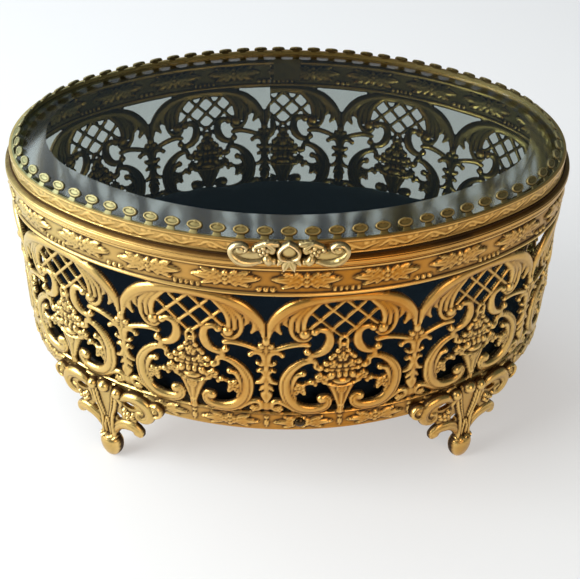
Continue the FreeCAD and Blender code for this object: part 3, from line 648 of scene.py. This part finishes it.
def draw_basket(r):
    """The basket of flowers in the middle, with a garland to each side."""
    r.stroke([(-4.0, 20.6), (-9.2, 19.8), (-13, 18)], (0.8, 0.7, 0.7), 0.5)
    r.stroke([(0, 33), (0, 24)], (1.2, 4.4), 0.45)
    r.stroke([(-1.2, 33.4), (-1.2, 36.2), (0, 37.6)], (0.6, 0.6, 0.6), 0.9)
    for flower in ((-6.6, 21.6, 1.9, 1.2, 5, 18), (-12.9, 18.0, 2.1, 1.25, 5, 40), (0, 29.6, 1.9, 1.3, 5, 90),
                   (-2.9, 26.8, 1.6, 1.2, 5, 10)):
        r.blossom(*flower)
    for bud in ((-5.2, 19.8, 1.1, 1.0), (-9.2, 19.9, 1.05, 1.0), (-8.1, 18.8, 0.8, 0.8),
                (0, 34.6, 0.95, 1.1), (-1.6, 32.0, 0.95, 1.0), (-2.5, 30.4, 0.85, 0.9),
                (-3.6, 29.4, 1.0, 1.0), (-5.0, 27.2, 1.15, 1.1), (-0.9, 26.2, 1.0, 1.1),
                (-4.8, 24.8, 1.0, 1.0), (-1.2, 24.4, 0.9, 0.9), (-3.2, 24.6, 0.8, 0.8)):
        r.knob(*bud)
    r.leaf(-12.4, 17.4, 3.0, 1.1, 0.9, -65)
    r.leaf(-13.2, 17.4, 3.2, 1.1, 0.9, -115)
    for petal in ((0, 21.6, 3.6, 0.6, 1.3), (-3.2, 22.4, 1.2, 1.4, 1.4, 70), (-1.0, 22.7, 1.0, 1.4, 1.4, 90),
                  (-4.6, 21.4, 0.9, 1.1, 1.4, 60), (0, 20.2, 1.3, 1.6, 2.3)):
        r.knob(*petal)
    r.stroke([(-4.4, 19.2), (-2.2, 18.5), (0, 18.3)], (0.6, 0.7, 0.75), 1.3)
    cone_top, cone_low = 18.8, 7.0
    half = 1.0 + 3.7 * (1 - np.clip((18.6 - r.v) / 11.2, 0, 1)) ** 1.5
    ratio = np.clip(np.abs(r.u) / half, 0, 1)
    flutes = 0.16 * np.cos(ratio * 9.0)
    cone = np.where((r.v < cone_top) & (r.v > cone_low), half - np.abs(r.u), -1.0)
    r.add(cone, 1.05 * dome(ratio) + flutes)
    r.leaf(0, 15.2, 3.4, 1.1, 1.3, 118, 0.2)
    r.knob(0, 10.4, 1.1, 1.25, 1.3)
    r.knob(0, 7.4, 1.3, 1.0)


def draw_pilaster(r):
    """The leafy upright between two panels, drawn on the left edge."""
    edge = -HALF_PANEL
    r.stroke([(edge, 36), (edge, 27), (edge, 13)], (0.7, 0.95, 1.1), 1.0)
    r.knob(edge, 36.2, 1.35, 1.2, 1.3, 90)
    r.knob(-21.6, 34.2, 1.05, 1.0, 1.2, 30)
    r.stroke([(-22.7, 27.3), (-22.2, 30.6), (-20.4, 31.8), (-18.3, 30.9)], (1.0, 1.2, 1.0, 0.7), 1.0)
    r.knob(-18.2, 30.7, 0.9, 1.0)
    r.stroke([(-22.6, 27.9), (-21.4, 27.0), (-20.4, 27.5)], (0.9, 0.85, 0.6), 0.9)
    r.knob(-20.4, 27.6, 0.75, 0.9)
    r.stroke([(-22.7, 23.2), (-21.6, 24.6), (-20.4, 24.2)], (0.9, 0.85, 0.6), 0.9)
    r.stroke([(-22.7, 22.6), (-21.6, 20.4), (-20.1, 19.6)], (1.0, 1.0, 0.7), 1.0)
    r.stroke([(-22.7, 18.6), (-21.6, 17.4), (-21.0, 16.6)], (0.9, 0.8, 0.5), 0.9)
    r.leaf(edge, 16.8, 5.2, 2.0, 1.1, -90, 0.2)
    r.knob(edge, 10.4, 2.2, 0.9)
    r.stroke([(-20.4, 8.6), (-21.4, 9.8), (-20.9, 11.7), (-19.2, 12.1), (-17.0, 10.9), (-14.6, 8.8)],
             (0.7, 0.9, 1.0, 1.0, 1.0, 0.9), 1.05)
    r.blossom(-19.2, 9.0, 1.6, 1.0)


def draw_line(r, level, half, height):
    """A raised line along the whole panel."""
    r.stroke([(-HALF_PANEL, level), (HALF_PANEL, level)], (half, half), height)


def draw_spray(r, level, radius, height, leaves):
    """A flower in the middle of a half panel, with leaves to both sides."""
    middle = -HALF_PANEL / 2
    for turn, out, long, wide, high in leaves:
        r.leaf(middle + out, level, long, wide, high, turn, 0.25)
        r.leaf(middle - out, level, long, wide, high, 180 - turn, 0.25)
    r.blossom(middle, level, radius, height, 6, 30, 0.4)


def draw_border(r):
    """The leafy border under the openwork."""
    r.band(0, 7.3, GROUND_RISE)
    draw_line(r, 6.9, 0.5, 0.6)
    draw_line(r, 0.3, 0.4, 0.35)
    draw_spray(r, 3.4, 2.4, 1.25, ((0, 1.6, 8.0, 1.3, 1.1), (26, 1.3, 5.8, 1.15, 1.0),
                                   (-24, 1.3, 5.6, 1.1, 1.0)))
    for u in (0, -HALF_PANEL):
        r.knob(u, 5.3, 0.75, 0.85)
        r.leaf(u, 4.4, 3.2, 0.8, 0.9, -90, 0.2)


def draw_frieze(r):
    """The band of flowers and leaves over the openwork."""
    r.band(52.8, 63, GROUND_RISE)
    draw_line(r, 53.5, 0.75, 0.85)
    draw_line(r, 62.3, 0.6, 0.7)
    for bead in (-2, 0, 2):
        r.knob(bead - HALF_PANEL, 55.2, 0.85, 1.0)
    for flute in (-3.4, -1.7, 0):
        r.knob(flute, 55.1, 0.55, 0.9, 1.6, 90)
    draw_spray(r, 58.6, 2.6, 1.4, ((2, 2.0, 8.0, 1.6, 1.15), (26, 1.7, 6.2, 1.3, 1.05),
                                   (-26, 1.7, 6.2, 1.3, 1.05), (58, 1.5, 3.4, 1.2, 1.0),
                                   (-58, 1.5, 3.4, 1.2, 1.0)))
    for side in (-4.4, 4.4):
        r.blossom(side - HALF_PANEL / 2, 58.8, 1.5, 1.25)


def panel_relief(step):
    """One panel of the wall from pilaster to pilaster."""
    r = Relief(-HALF_PANEL, HALF_PANEL, 0, WALL_HIGH[2] - WALL_LOW[2], step)
    for draw in (draw_arch, draw_lattice, draw_scrolls, draw_basket, draw_pilaster, draw_border, draw_frieze):
        draw(r)
    r.mirror()
    return r


class CASKET_OT_finishes(bpy.types.Operator):
    """Makes the metals, the glass and the velvet"""

    bl_idname = "casket.finishes"
    bl_label = "Finishes"

    def execute(self, context):
        look = context.scene.casket_finish
        gold, bright, patina = tuple(look.gold), tuple(look.bright), tuple(look.patina)
        gilt("antiqued_gilt", gold, bright, patina)
        gilt("inner_gilt", tuple(look.inside), bright, patina, roughness=0.34, stain=0.3)
        gilt("worn_pale_gilt", tuple(look.pale), (0.86, 0.79, 0.58), (0.09, 0.062, 0.024),
             roughness=0.34, stain=0.25)
        gilt("olive_gilt", tuple(look.olive), (0.36, 0.31, 0.16), (0.05, 0.036, 0.014),
             roughness=0.55, stain=0.3)
        gilt("aged_brass", (0.20, 0.135, 0.055), gold, (0.03, 0.018, 0.008), roughness=0.38, stain=0.7)
        gilt("blackened_brass", (0.060, 0.040, 0.022), (0.20, 0.13, 0.06), (0.02, 0.013, 0.008),
             roughness=0.26, stain=0.5)
        clear_glass("clear_glass", tuple(look.glass))
        velvet("navy_velvet", tuple(look.velvet))
        card("pressed_card", (0.30, 0.25, 0.19))
        drawn_steel("drawn_steel")
        return {"FINISHED"}


class CASKET_OT_wall(bpy.types.Operator):
    """Stamps the openwork strip and bends it round the oval, in three lengths"""

    bl_idname = "casket.wall"
    bl_label = "Openwork wall"

    def execute(self, context):
        plan, wall = context.scene.casket_plan, context.scene.casket_wall
        oval = Oval(plan)
        overhang, seam = plan.wall_overhang / MM, wall.seam / MM
        count = round(wall.panel / wall.grid)
        step = wall.panel / MM / count
        drawn = panel_relief(step)
        around = oval.length(overhang)
        columns = round(around / step) + 1
        pick = (np.arange(columns) - round(wall.lead / MM / step)) % count
        inside, height = drawn.inside[pick], drawn.height[pick]
        u, v = np.meshgrid(np.linspace(0, around - SEAM_GAP, columns), drawn.up, indexing="ij")
        for quarter in range(4):
            spot = (quarter * around / 4 + wall.rivet_shift / MM - seam) % around
            seat = np.hypot(u - spot, v - wall.rivet_height / MM) < wall.rivet_seat / MM
            height = np.where(seat, np.minimum(height, GROUND_RISE), height)
        hollow, worn = wear_of(height)
        front = wall.level / MM + height
        back = front - wall.gauge / MM
        place = oval.wrap(overhang, WALL_LOW[2], seam)
        cuts = [0, columns // 3, 2 * columns // 3, columns - 1]
        for name, start, stop in zip(("wall_left", "wall_front", "wall_right"), cuts[:-1], cuts[1:]):
            part = slice(start, stop + 1)
            arrays = sheet_arrays(u[part], v[part], inside[part], front[part], back[part], place,
                                  (hollow[part], worn[part]))
            add_piece(name, arrays, ("antiqued_gilt", "inner_gilt"), "case", "filigree_wall")
        return {"FINISHED"}


class CASKET_OT_rim(bpy.types.Operator):
    """Rolls the moulded rim on the wall's upper edge"""

    bl_idname = "casket.rim"
    bl_label = "Rolled rim"

    def execute(self, context):
        columns, rows, depth, shoulder = 330, 26, 1.4, 0.75
        groove_half, groove_depth = 0.045, 0.2
        notch_half, notch_floor = 5.2, 90.15
        lip_gauge, lip_lap = 0.4, 0.35
        plan = context.scene.casket_plan
        oval = Oval(plan)
        outer = RIM_HIGH[0] - plan.half_length / MM
        inner = plan.wall_overhang / MM - depth
        rise = RIM_HIGH[2] - RIM_LOW[2]
        u, v = np.meshgrid(oval.even(columns, outer), np.linspace(0, rise, rows), indexing="ij")
        share = v / rise
        bulge = dome(2 * share - 1) ** 0.55
        grooves = soft_line(share - 0.24, groove_half) + soft_line(share - 0.76, groove_half)
        front = outer - shoulder * (1 - bulge) - groove_depth * grooves
        hollow = np.clip(grooves * 0.75 + soft_line(np.minimum(v, rise - v), 0.25) * 0.6, 0, 1)
        worn = np.clip(bulge - 0.6, 0, 1) * (1 - hollow)
        beside_hinge = np.minimum(np.minimum(u, oval.length(outer) - u) - notch_half, SOLID)
        inside = np.maximum(beside_hinge, notch_floor - RIM_LOW[2] - v)
        place = oval.wrap(outer, RIM_LOW[2])
        rim = sheet_arrays(u, v, inside, front, inner, place, (hollow, worn), closed=True)

        # The thin lip behind the rim closes the gap under the lid: a dark sheet whose colour is painted shade
        # of that gap, darkest at the top.
        lip_rise = BAND_LOW[2] + lip_lap - RIM_LOW[2]
        lip_v = share * lip_rise
        painted_gap_shade = np.where(lip_v > rise + 0.4 * (lip_rise - rise), 1.0, 0.65)
        lip = sheet_arrays(u, lip_v, beside_hinge, inner + lip_gauge, inner, place, (painted_gap_shade, 0.0),
                           closed=True)
        add_piece("rolled_rim", joined((rim, lip)), ("antiqued_gilt", "inner_gilt"), "case",
                  "body_rim")
        return {"FINISHED"}


class CASKET_OT_lid(bpy.types.Operator):
    """Makes the embossed band, the ring of prongs and the glass"""

    bl_idname = "casket.lid"
    bl_label = "Lid"

    def execute(self, context):
        oval = Oval(context.scene.casket_plan)
        self.band(oval)
        self.prongs(oval)
        dress("glass_pane", "clear_glass")
        dress("glass_seat", "antiqued_gilt")
        return {"FINISHED"}

    def band(self, oval):
        """The lid's band, with a low running leaf between two lines."""
        repeats, cells, rows = 38, 24, 18
        line_inset, sunk, back = 0.35, 0.25, -0.9
        rise = BAND_HIGH[2] - BAND_LOW[2]
        half = oval.length(0.0) / repeats / 2
        r = Relief(-half, half, 0, rise, 2 * half / cells, rise / rows)
        for level in (line_inset, rise - line_inset):
            r.stroke([(-half, level), (half, level)], (0.4, 0.4), 0.3)
        r.stroke([(-6.2, 1.6), (-3.4, 3.2), (-0.6, 2.2), (1.4, 1.4), (3.6, 2.2), (6.2, 3.0)],
                 (0.3, 0.55, 0.5, 0.55, 0.5, 0.3), 0.26)
        r.knob(-1.6, 1.5, 0.7, 0.24, 1.3)
        r.knob(2.6, 3.1, 0.7, 0.24, 1.3)
        r.leaf(-3.6, 2.9, 2.2, 0.6, 0.22, -60, 0.1)
        r.leaf(4.0, 2.2, 2.0, 0.6, 0.22, 70, 0.1)
        height = r.height[np.arange(cells * repeats) % cells]
        u, v = np.meshgrid(oval.even(cells * repeats, 0.0), r.up, indexing="ij")
        hollow, worn = wear_of(height * 2.2, closed=True)
        wear = (hollow * 0.4, np.clip(worn + 0.35, 0, 1))
        place = oval.wrap(0.0, BAND_LOW[2])
        arrays = sheet_arrays(u, v, SOLID, height * 0.8 - sunk, back, place, wear, closed=True)
        add_piece("embossed_band", arrays, ("antiqued_gilt", "inner_gilt"), "lid", "lid_band")

    def prongs(self, oval):
        """Prongs with mushroom caps that lean in over the glass, on a plain ring."""
        pitch, sunk, back = 6.65, 0.25, -0.45
        ring_columns, ring_rows, ring_front, ring_back = 300, 6, -0.02, -0.48
        foot_offset, tip_offset = -0.95, -3.9
        foot_level, tip_level = BAND_HIGH[2] + 0.1, GALLERY_HIGH[2]
        run, rise = tip_offset - foot_offset, tip_level - foot_level
        slope = math.hypot(run, rise)
        r = Relief(-2.6, 2.6, -0.4, slope, 0.2)
        r.stroke([(0, -0.4), (0, 0.5), (0, 1.7)], (2.0, 1.15, 0.95), 0.25)
        r.knob(0, 2.6, 1.28, 0.4, 1.85)
        turns = np.radians(np.arange(0, 361, 30))
        cap_edge = np.column_stack([1.95 * np.cos(turns), 2.6 + 0.98 * np.sin(turns)])
        r.stroke(cap_edge, np.full(len(turns), 0.4), 0.54)
        r.knob(0, 3.5, 0.65, 0.56)

        def leaning(across, up, out):
            return np.column_stack([across, (up * run + out * rise) / slope, (up * rise - out * run) / slope])

        wear = wear_of(r.height * 1.8, rounds=2)
        corners, *rest = sheet_arrays(r.u, r.v, r.inside, r.height - sunk, back, leaning, wear)
        count = round(oval.length(foot_offset) / pitch)
        parts = []
        for (x, y), (nx, ny) in zip(*oval.at(oval.even(count, foot_offset, 0.5), foot_offset)):
            axes = np.array([(-ny, nx, 0.0), (nx, ny, 0.0), (0.0, 0.0, 1.0)])
            parts.append((corners @ axes + (x, y, foot_level), *rest))
        levels = np.linspace(0, foot_level - GALLERY_LOW[2], ring_rows)
        u, v = np.meshgrid(oval.even(ring_columns, foot_offset), levels, indexing="ij")
        parts.append(sheet_arrays(u, v, SOLID, foot_offset + ring_front, foot_offset + ring_back,
                                  oval.wrap(foot_offset, GALLERY_LOW[2]), (0.0, 0.0), closed=True))
        add_piece("prong_gallery", joined(parts), ("olive_gilt", "olive_gilt"), "lid",
                  "crown_gallery")


class CASKET_OT_clasp(bpy.types.Operator):
    """Casts the thumb clasp on the front of the lid"""

    bl_idname = "casket.clasp"
    bl_label = "Thumb clasp"

    def execute(self, context):
        middle, clearance, gauge, proudest = 95.5, 0.45, 0.7, 3.0
        lug_half, lug_low, lug_high, lug_gap = 5.9, 0.5, 3.3, 0.06
        r = self.drawing()
        back_face = RIM_HIGH[1] + clearance
        front = np.clip(gauge + r.height * 0.95, 0, proudest)
        band_foot = BAND_LOW[2] - middle
        lug = (np.abs(r.u) < lug_half) & (r.v > band_foot + lug_low) & (r.v < band_foot + lug_high)
        back = np.where(lug, BAND_HIGH[1] + lug_gap - back_face, 0.0)

        def place(across, up, out):
            return np.column_stack([across, -(back_face + out), middle + up])

        arrays = sheet_arrays(r.u, r.v, r.inside, front, back, place, wear_of(r.height, rounds=4))
        add_piece("cast_clasp", arrays, ("worn_pale_gilt", "worn_pale_gilt"), "lid",
                  "thumb_clasp")
        return {"FINISHED"}

    def drawing(self):
        """A pear between two leaves, then a blossom and a scroll to each side."""
        r = Relief(-17.2, 17.2, -6.2, 4.6, 0.2)
        r.knob(0, 0.5, 2.4, 0.9, 1.1, 90)
        r.stroke([(0, 3.2), (-1.9, 1.9), (-2.8, 0.4), (-2.2, -1.3), (0, -2.1)],
                 (0.5, 0.6, 0.7, 0.7, 0.6), 2.0)
        r.knob(0, -0.1, 1.4, 0.5, 1.1)
        for leaf in ((-0.1, -1.5, 4.3, 1.5, 2.0, -112, 0.25), (-1.5, -1.2, 3.0, 1.1, 1.7, -128, 0.2),
                     (-3.6, 1.0, 4.0, 0.9, 1.2, 140, 0.25), (-3.8, 0.4, 3.2, 0.9, 1.1, 165, 0.25)):
            r.leaf(*leaf)
        for bud in ((-5.7, -2.2, 1.45, 2.1, 1.35, 118), (-4.2, -2.6, 0.95, 1.5, 1.3, 100),
                    (-4.6, 0.7, 1.1, 1.2), (-13.3, 1.0, 1.5, 1.2), (-9.4, 1.2, 0.8, 1.3)):
            r.knob(*bud)
        r.blossom(-6.9, 0.6, 1.9, 1.6, 5, 20)
        r.stroke([(-3.2, 2.6), (-6.0, 2.9), (-8.8, 1.9)], (0.8, 0.9, 0.7), 0.9)
        r.stroke([(-7.6, -2.6), (-10.4, -3.1), (-13.0, -2.7), (-15.2, -1.0), (-15.9, 0.9), (-14.8, 2.4),
                  (-12.9, 2.7), (-11.5, 1.7), (-12.2, 0.6)],
                 (0.8, 1.15, 1.4, 1.5, 1.1, 0.75, 0.65, 0.6, 0.55), 2.0, groove=0.2, lines=(0.5,))
        r.stroke([(-14.5, 0), (-11, -1), (-8, -0.6)], (1.8, 1.7, 1.6), 0.7)
        r.mirror()
        return r


class CASKET_OT_feet(bpy.types.Operator):
    """Casts the four scrolled feet"""

    bl_idname = "casket.feet"
    bl_label = "Cast feet"

    def execute(self, context):
        clearance, gauge, toe_depth, swing_share = 0.05, 0.9, 2.1, 0.772
        plan = context.scene.casket_plan
        oval = Oval(plan)
        radius = oval.side + plan.wall_overhang / MM + clearance
        swing = (math.pi / 2 - oval.lean) * swing_share
        r = self.drawing()

        def bend(across, up, out):
            return np.column_stack([across / radius, radius + out, up])

        back = -toe_depth * dome(self.toe(r))
        bent, faces, *rest = sheet_arrays(r.u, r.v, r.inside, gauge + r.height, back, bend,
                                          wear_of(r.height, rounds=5))
        turn, reach, level = bent.T
        for end, forward in (("front", 1), ("back", -1)):
            for side, right in (("left", -1), ("right", 1)):
                x = reach * np.sin(right * swing + turn)
                y = -forward * (reach * np.cos(right * swing + turn) - oval.side_centre)
                arrays = (np.column_stack([x, y, level]), faces[:, ::forward], *rest)
                add_piece(f"scroll_foot_{end}_{side}", arrays, ("antiqued_gilt", "antiqued_gilt"), "case",
                          f"foot_{end}_{side}")
        return {"FINISHED"}

    def toe(self, r):
        """Share of the way from the middle of the spade toe to its edge."""
        half, middle, over, under = 4.0, 6.0, 3.6, 6.7
        return np.hypot(r.u / half, (r.v - middle) / np.where(r.v > middle, over, under))

    def drawing(self):
        """A shield over a spade toe, with scrolls and berries to each side."""
        r = Relief(-22.8, 22.8, 0, 33.4, 0.3)
        r.knob(-9.8, 24.6, 5.0, 0.55, 1.75, -8)
        r.stroke([(-2.0, 15.5), (-9.0, 19.4)], (2.2, 2.4), 0.5)
        r.opening(-9.4, 26.5, 1.2, 2.2, 10)
        r.opening(-4.9, 18.9, 1.3, 1.5, 60)
        r.stroke([(0, 28.6), (0, 22.5), (0, 15.5)], (3.9, 2.7, 0.9), 0.75)
        r.stroke([(-4.7, 28.6), (-3.7, 23.4), (-2.2, 18.4), (-1.9, 14), (-2.2, 9)],
                 (0.75, 0.75, 0.7, 0.8, 0.9), 1.7)
        r.stroke([(-3.3, 28.4), (-2.4, 23.0), (-0.9, 17.6)], (0.5, 0.5, 0.4), 1.35)
        r.knob(0, 30.8, 2.1, 2.4)
        r.knob(-4.9, 29.5, 1.8, 2.1, 1.15, 90)
        r.stroke([(-5.2, 28.4), (-6.2, 26.2), (-5.8, 24.2)], (1.1, 0.9, 0.5), 1.5)
        r.stroke([(-6.6, 27.9), (-9.2, 29.6), (-12.4, 30.0), (-15.4, 28.6), (-16.9, 25.8), (-16.2, 22.8),
                  (-14.0, 21.4), (-12.2, 22.4), (-12.5, 24.2), (-13.9, 24.6)],
                 (1.2, 1.8, 2.0, 2.1, 2.1, 2.0, 1.7, 1.3, 1.1, 0.9), 1.7, groove=0.2, lines=(0.45,))
        r.knob(-19.0, 27.8, 2.5, 1.2)
        r.stroke([(-17.4, 25.9), (-19.2, 25.4), (-20.9, 26.6), (-21.1, 28.6), (-19.7, 30.1), (-17.8, 29.8)],
                 (0.5, 0.7, 0.75, 0.75, 0.7, 0.5), 1.7)
        r.knob(-19.0, 27.7, 0.9, 1.7)
        for u, v, radius in ((-7.7, 23.8, 1.1), (-9.0, 22.6, 1.15), (-7.6, 21.9, 1.0), (-10.3, 21.7, 1.05),
                             (-8.7, 20.8, 1.0), (-10.9, 23.2, 0.9)):
            r.knob(u, v, radius, 1.6)
        r.stroke([(-2.0, 10.8), (-3.7, 14.3), (-6.5, 16.5), (-9.6, 17.0), (-11.9, 15.8), (-12.2, 14.5)],
                 (1.1, 1.6, 1.9, 2.2, 2.1, 1.6), 1.7, groove=0.2, lines=(-0.45,))
        r.knob(-11.7, 15.2, 1.9, 1.6)
        r.stroke([(0, 17.5), (0, 8.0)], (1.7, 2.5), 0.9)
        r.stroke([(-0.2, 17.0), (-0.9, 13.4), (-0.9, 10.2)], (0.5, 0.6, 0.5), 1.7)
        r.stroke([(-2.9, 9.4), (-2.2, 8.6), (-1.2, 9.3), (0, 8.4)], (0.5, 0.6, 0.5, 0.6), 2.6)
        toe = self.toe(r)
        r.add((1 - toe) * 3.6, 3.3 * dome(toe))
        r.mirror()
        return r


class CASKET_OT_pad(bpy.types.Operator):
    """Stuffs the velvet pad and lets it swell"""

    bl_idname = "casket.pad"
    bl_label = "Velvet pad"

    def execute(self, context):
        # Each ring of the pad: its offset from the lid's outline and its level over the pad's floor.
        profile = ((-2.8, 0.0), (-2.3, 2.4), (-2.2, 8.6), (-2.8, 10.8), (-4.8, 12.2), (-11, 12.9),
                   (-22, 13.2), (-36, 13.4))
        columns, voxel, most = 120, 4.5, 1.6
        oval = Oval(context.scene.casket_plan)
        point, normal = oval.at(oval.even(columns, 0.0), 0.0)
        corners = [Vector((x, y, PAD_LOW[2] + level)) * MM
                   for offset, level in profile for x, y in point + normal * offset]
        faces = []
        for ring in range(len(profile) - 1):
            for column in range(columns):
                a, b = ring * columns + column, ring * columns + (column + 1) % columns
                faces.append((a, b, b + columns, a + columns))
        faces.append(tuple(reversed(range(columns))))
        faces.append(tuple(range((len(profile) - 1) * columns, len(profile) * columns)))
        mesh = bpy.data.meshes.new("velvet_pad")
        mesh.from_pydata(corners, [], faces)
        pad = bpy.data.objects.new("velvet_pad", mesh)
        context.collection.objects.link(pad)
        swell(pad, voxel * MM, most * MM)
        soften(pad)
        pad.data.materials.append(bpy.data.materials["navy_velvet"])
        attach(pad, "case")
        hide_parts("pad_cushion")
        return {"FINISHED"}


def apply_modifiers(piece):
    """Keeps the shape that the piece's modifiers give it."""
    view = bpy.context.evaluated_depsgraph_get()
    mesh = bpy.data.meshes.new_from_object(piece.evaluated_get(view))
    piece.modifiers.clear()
    old = piece.data
    piece.data = mesh
    mesh.name = piece.name
    bpy.data.meshes.remove(old)


def places(piece):
    return np.array([corner.co[:] for corner in piece.data.vertices])


def swell(pad, voxel, most):
    """Fills the pad by a short cloth run, and caps how far any point moves."""
    pressure, last_step = 4.0, 20
    remesh = pad.modifiers.new("even", "REMESH")
    remesh.mode = "VOXEL"
    remesh.voxel_size = voxel
    apply_modifiers(pad)
    start = places(pad)
    cloth = pad.modifiers.new("fill", "CLOTH")
    cloth.settings.use_pressure = True
    cloth.settings.uniform_pressure_force = pressure
    cloth.settings.effector_weights.gravity = 0.0
    scene = bpy.context.scene
    for step in range(1, last_step + 1):
        scene.frame_set(step)
    apply_modifiers(pad)
    scene.frame_set(1)
    shift = places(pad) - start
    reach = np.linalg.norm(shift, axis=1, keepdims=True)
    placed = start + shift * np.minimum(1.0, most / np.maximum(reach, 1e-9))
    placed[:, 2] = np.maximum(placed[:, 2], PAD_LOW[2] * MM)
    pad.data.vertices.foreach_set("co", placed.astype(np.float32).ravel())


def soften(pad):
    """One round of subdivision and smooth shading."""
    finer = pad.modifiers.new("finer", "SUBSURF")
    finer.levels = finer.render_levels = 1
    apply_modifiers(pad)
    pad.data.polygons.foreach_set("use_smooth", np.ones(len(pad.data.polygons), dtype=bool))


class CASKET_OT_fittings(bpy.types.Operator):
    """Finishes the base, its rivets and the hinge"""

    bl_idname = "casket.fittings"
    bl_label = "Base and hinge"

    def execute(self, context):
        dress("base_plate", "aged_brass")
        dress("base_rivets", "blackened_brass")
        dress("hinge_body_leaf", "inner_gilt")
        dress("hinge_lid_leaf", "inner_gilt")
        dress("hinge_pin", "drawn_steel")
        dress("pad_board", "pressed_card")
        return {"FINISHED"}


class CASKET_OT_stage(bpy.types.Operator):
    """Sets the floor, the soft studio light and the camera"""

    bl_idname = "casket.stage"
    bl_label = "Stage"

    def execute(self, context):
        scene, stage = context.scene, context.scene.casket_stage
        scene.view_settings.view_transform = "Standard"
        self.floor(tuple(stage.floor), tuple(stage.glow))
        self.world(scene, tuple(stage.surround))
        self.lamps()
        self.camera(scene, stage)
        return {"FINISHED"}

    def floor(self, tone, glow):
        half, glow_share = 12.0, 0.47
        mesh = bpy.data.meshes.new("floor")
        corners = [(-half, -half, 0), (half, -half, 0), (half, half, 0), (-half, half, 0)]
        mesh.from_pydata(corners, [], [(0, 1, 2, 3)])
        floor = bpy.data.objects.new("floor", mesh)
        bpy.context.collection.objects.link(floor)
        finish = Finish("pale_floor")
        shaded = tuple(channel * 0.96 for channel in tone)
        finish.surface(Base_Color=finish.mix(finish.noise(3.0), tone, shaded), Roughness=0.85)
        straight, mirrored, through = (finish.node("ShaderNodeLightPath", output=f"Is {way} Ray")
                                       for way in ("Camera", "Glossy", "Transmission"))
        seen = (straight + mirrored + through).held()
        finish.overlay(seen * glow_share, finish.node("ShaderNodeEmission", {"Color": glow, "Strength": 1.0}))
        mesh.materials.append(finish.material)

    def world(self, scene, tint):
        world = bpy.data.worlds.new("studio")
        world.use_nodes = True
        background = world.node_tree.nodes["Background"]
        background.inputs["Color"].default_value = (*tint, 1.0)
        background.inputs["Strength"].default_value = 0.15
        scene.world = world

    def lamps(self):
        """Soft lamps: place and width in metres, power in watts, tint."""
        aim = Vector((0, 0, 0.05))
        for name, spot, power, wide, tint in (
            ("overhead", (-0.42, 0.30, 0.80), 7.0, 1.0, (0.82, 0.92, 1.0)),
            ("left", (-0.75, -0.22, 0.45), 12.0, 0.6, (0.95, 0.99, 1.0)),
            ("front", (0.35, -0.8, 0.45), 2.6, 0.5, (1.0, 0.75, 0.50)),
        ):
            lamp = bpy.data.lights.new(name, "AREA")
            lamp.energy = power
            lamp.size = wide
            lamp.color = tint
            item = bpy.data.objects.new(name, lamp)
            bpy.context.collection.objects.link(item)
            item.location = spot
            item.rotation_euler = (aim - Vector(spot)).to_track_quat("-Z", "Y").to_euler()

    def camera(self, scene, stage):
        data = bpy.data.cameras.new("photo_camera")
        camera = bpy.data.objects.new("photo_camera", data)
        scene.collection.objects.link(camera)
        flat = math.cos(stage.elevation)
        way = Vector((math.sin(stage.azimuth) * flat, -math.cos(stage.azimuth) * flat,
                      math.sin(stage.elevation)))
        camera.location = Vector((0, 0, stage.target_height)) + way * stage.distance
        camera.rotation_mode = "QUATERNION"
        camera.rotation_quaternion = way.to_track_quat("Z", "Y") @ Quaternion((0, 0, 1), stage.roll)
        data.sensor_fit = "HORIZONTAL"
        data.sensor_width = 36.0
        data.lens = stage.focal * data.sensor_width / PHOTO_WIDTH
        data.shift_x = (PHOTO_WIDTH / 2 - stage.centre_x) / PHOTO_WIDTH
        data.shift_y = (stage.centre_y - PHOTO_HEIGHT / 2) / PHOTO_WIDTH
        data.clip_start = 0.01
        scene.camera = camera


class CASKET_PT_panel(bpy.types.Panel):
    """Lists the casket's steps in the sidebar"""

    bl_label = "Casket"
    bl_idname = "CASKET_PT_panel"
    bl_space_type = "VIEW_3D"
    bl_region_type = "UI"
    bl_category = "Casket"

    def draw(self, context):
        for step in STEPS:
            self.layout.operator(step.bl_idname)
        for name in GROUPS:
            box = self.layout.box()
            group = getattr(context.scene, name)
            for prop in type(group).__annotations__:
                box.prop(group, prop)


STEPS = (CASKET_OT_finishes, CASKET_OT_wall, CASKET_OT_rim, CASKET_OT_lid, CASKET_OT_clasp, CASKET_OT_feet,
         CASKET_OT_pad, CASKET_OT_fittings, CASKET_OT_stage)
GROUPS = {"casket_plan": CasketPlan, "casket_wall": CasketWall, "casket_finish": CasketFinish,
          "casket_stage": CasketStage}


def register():
    for group in (*GROUPS.values(), *STEPS, CASKET_PT_panel):
        bpy.utils.register_class(group)
    for name, group in GROUPS.items():
        setattr(bpy.types.Scene, name, bpy.props.PointerProperty(type=group))


def unregister():
    for name in GROUPS:
        delattr(bpy.types.Scene, name)
    for group in (CASKET_PT_panel, *reversed(STEPS), *GROUPS.values()):
        bpy.utils.unregister_class(group)


def main():
    register()
    for step in STEPS:
        group, name = step.bl_idname.split(".")
        getattr(getattr(bpy.ops, group), name)()


if __name__ == "__main__":
    main()
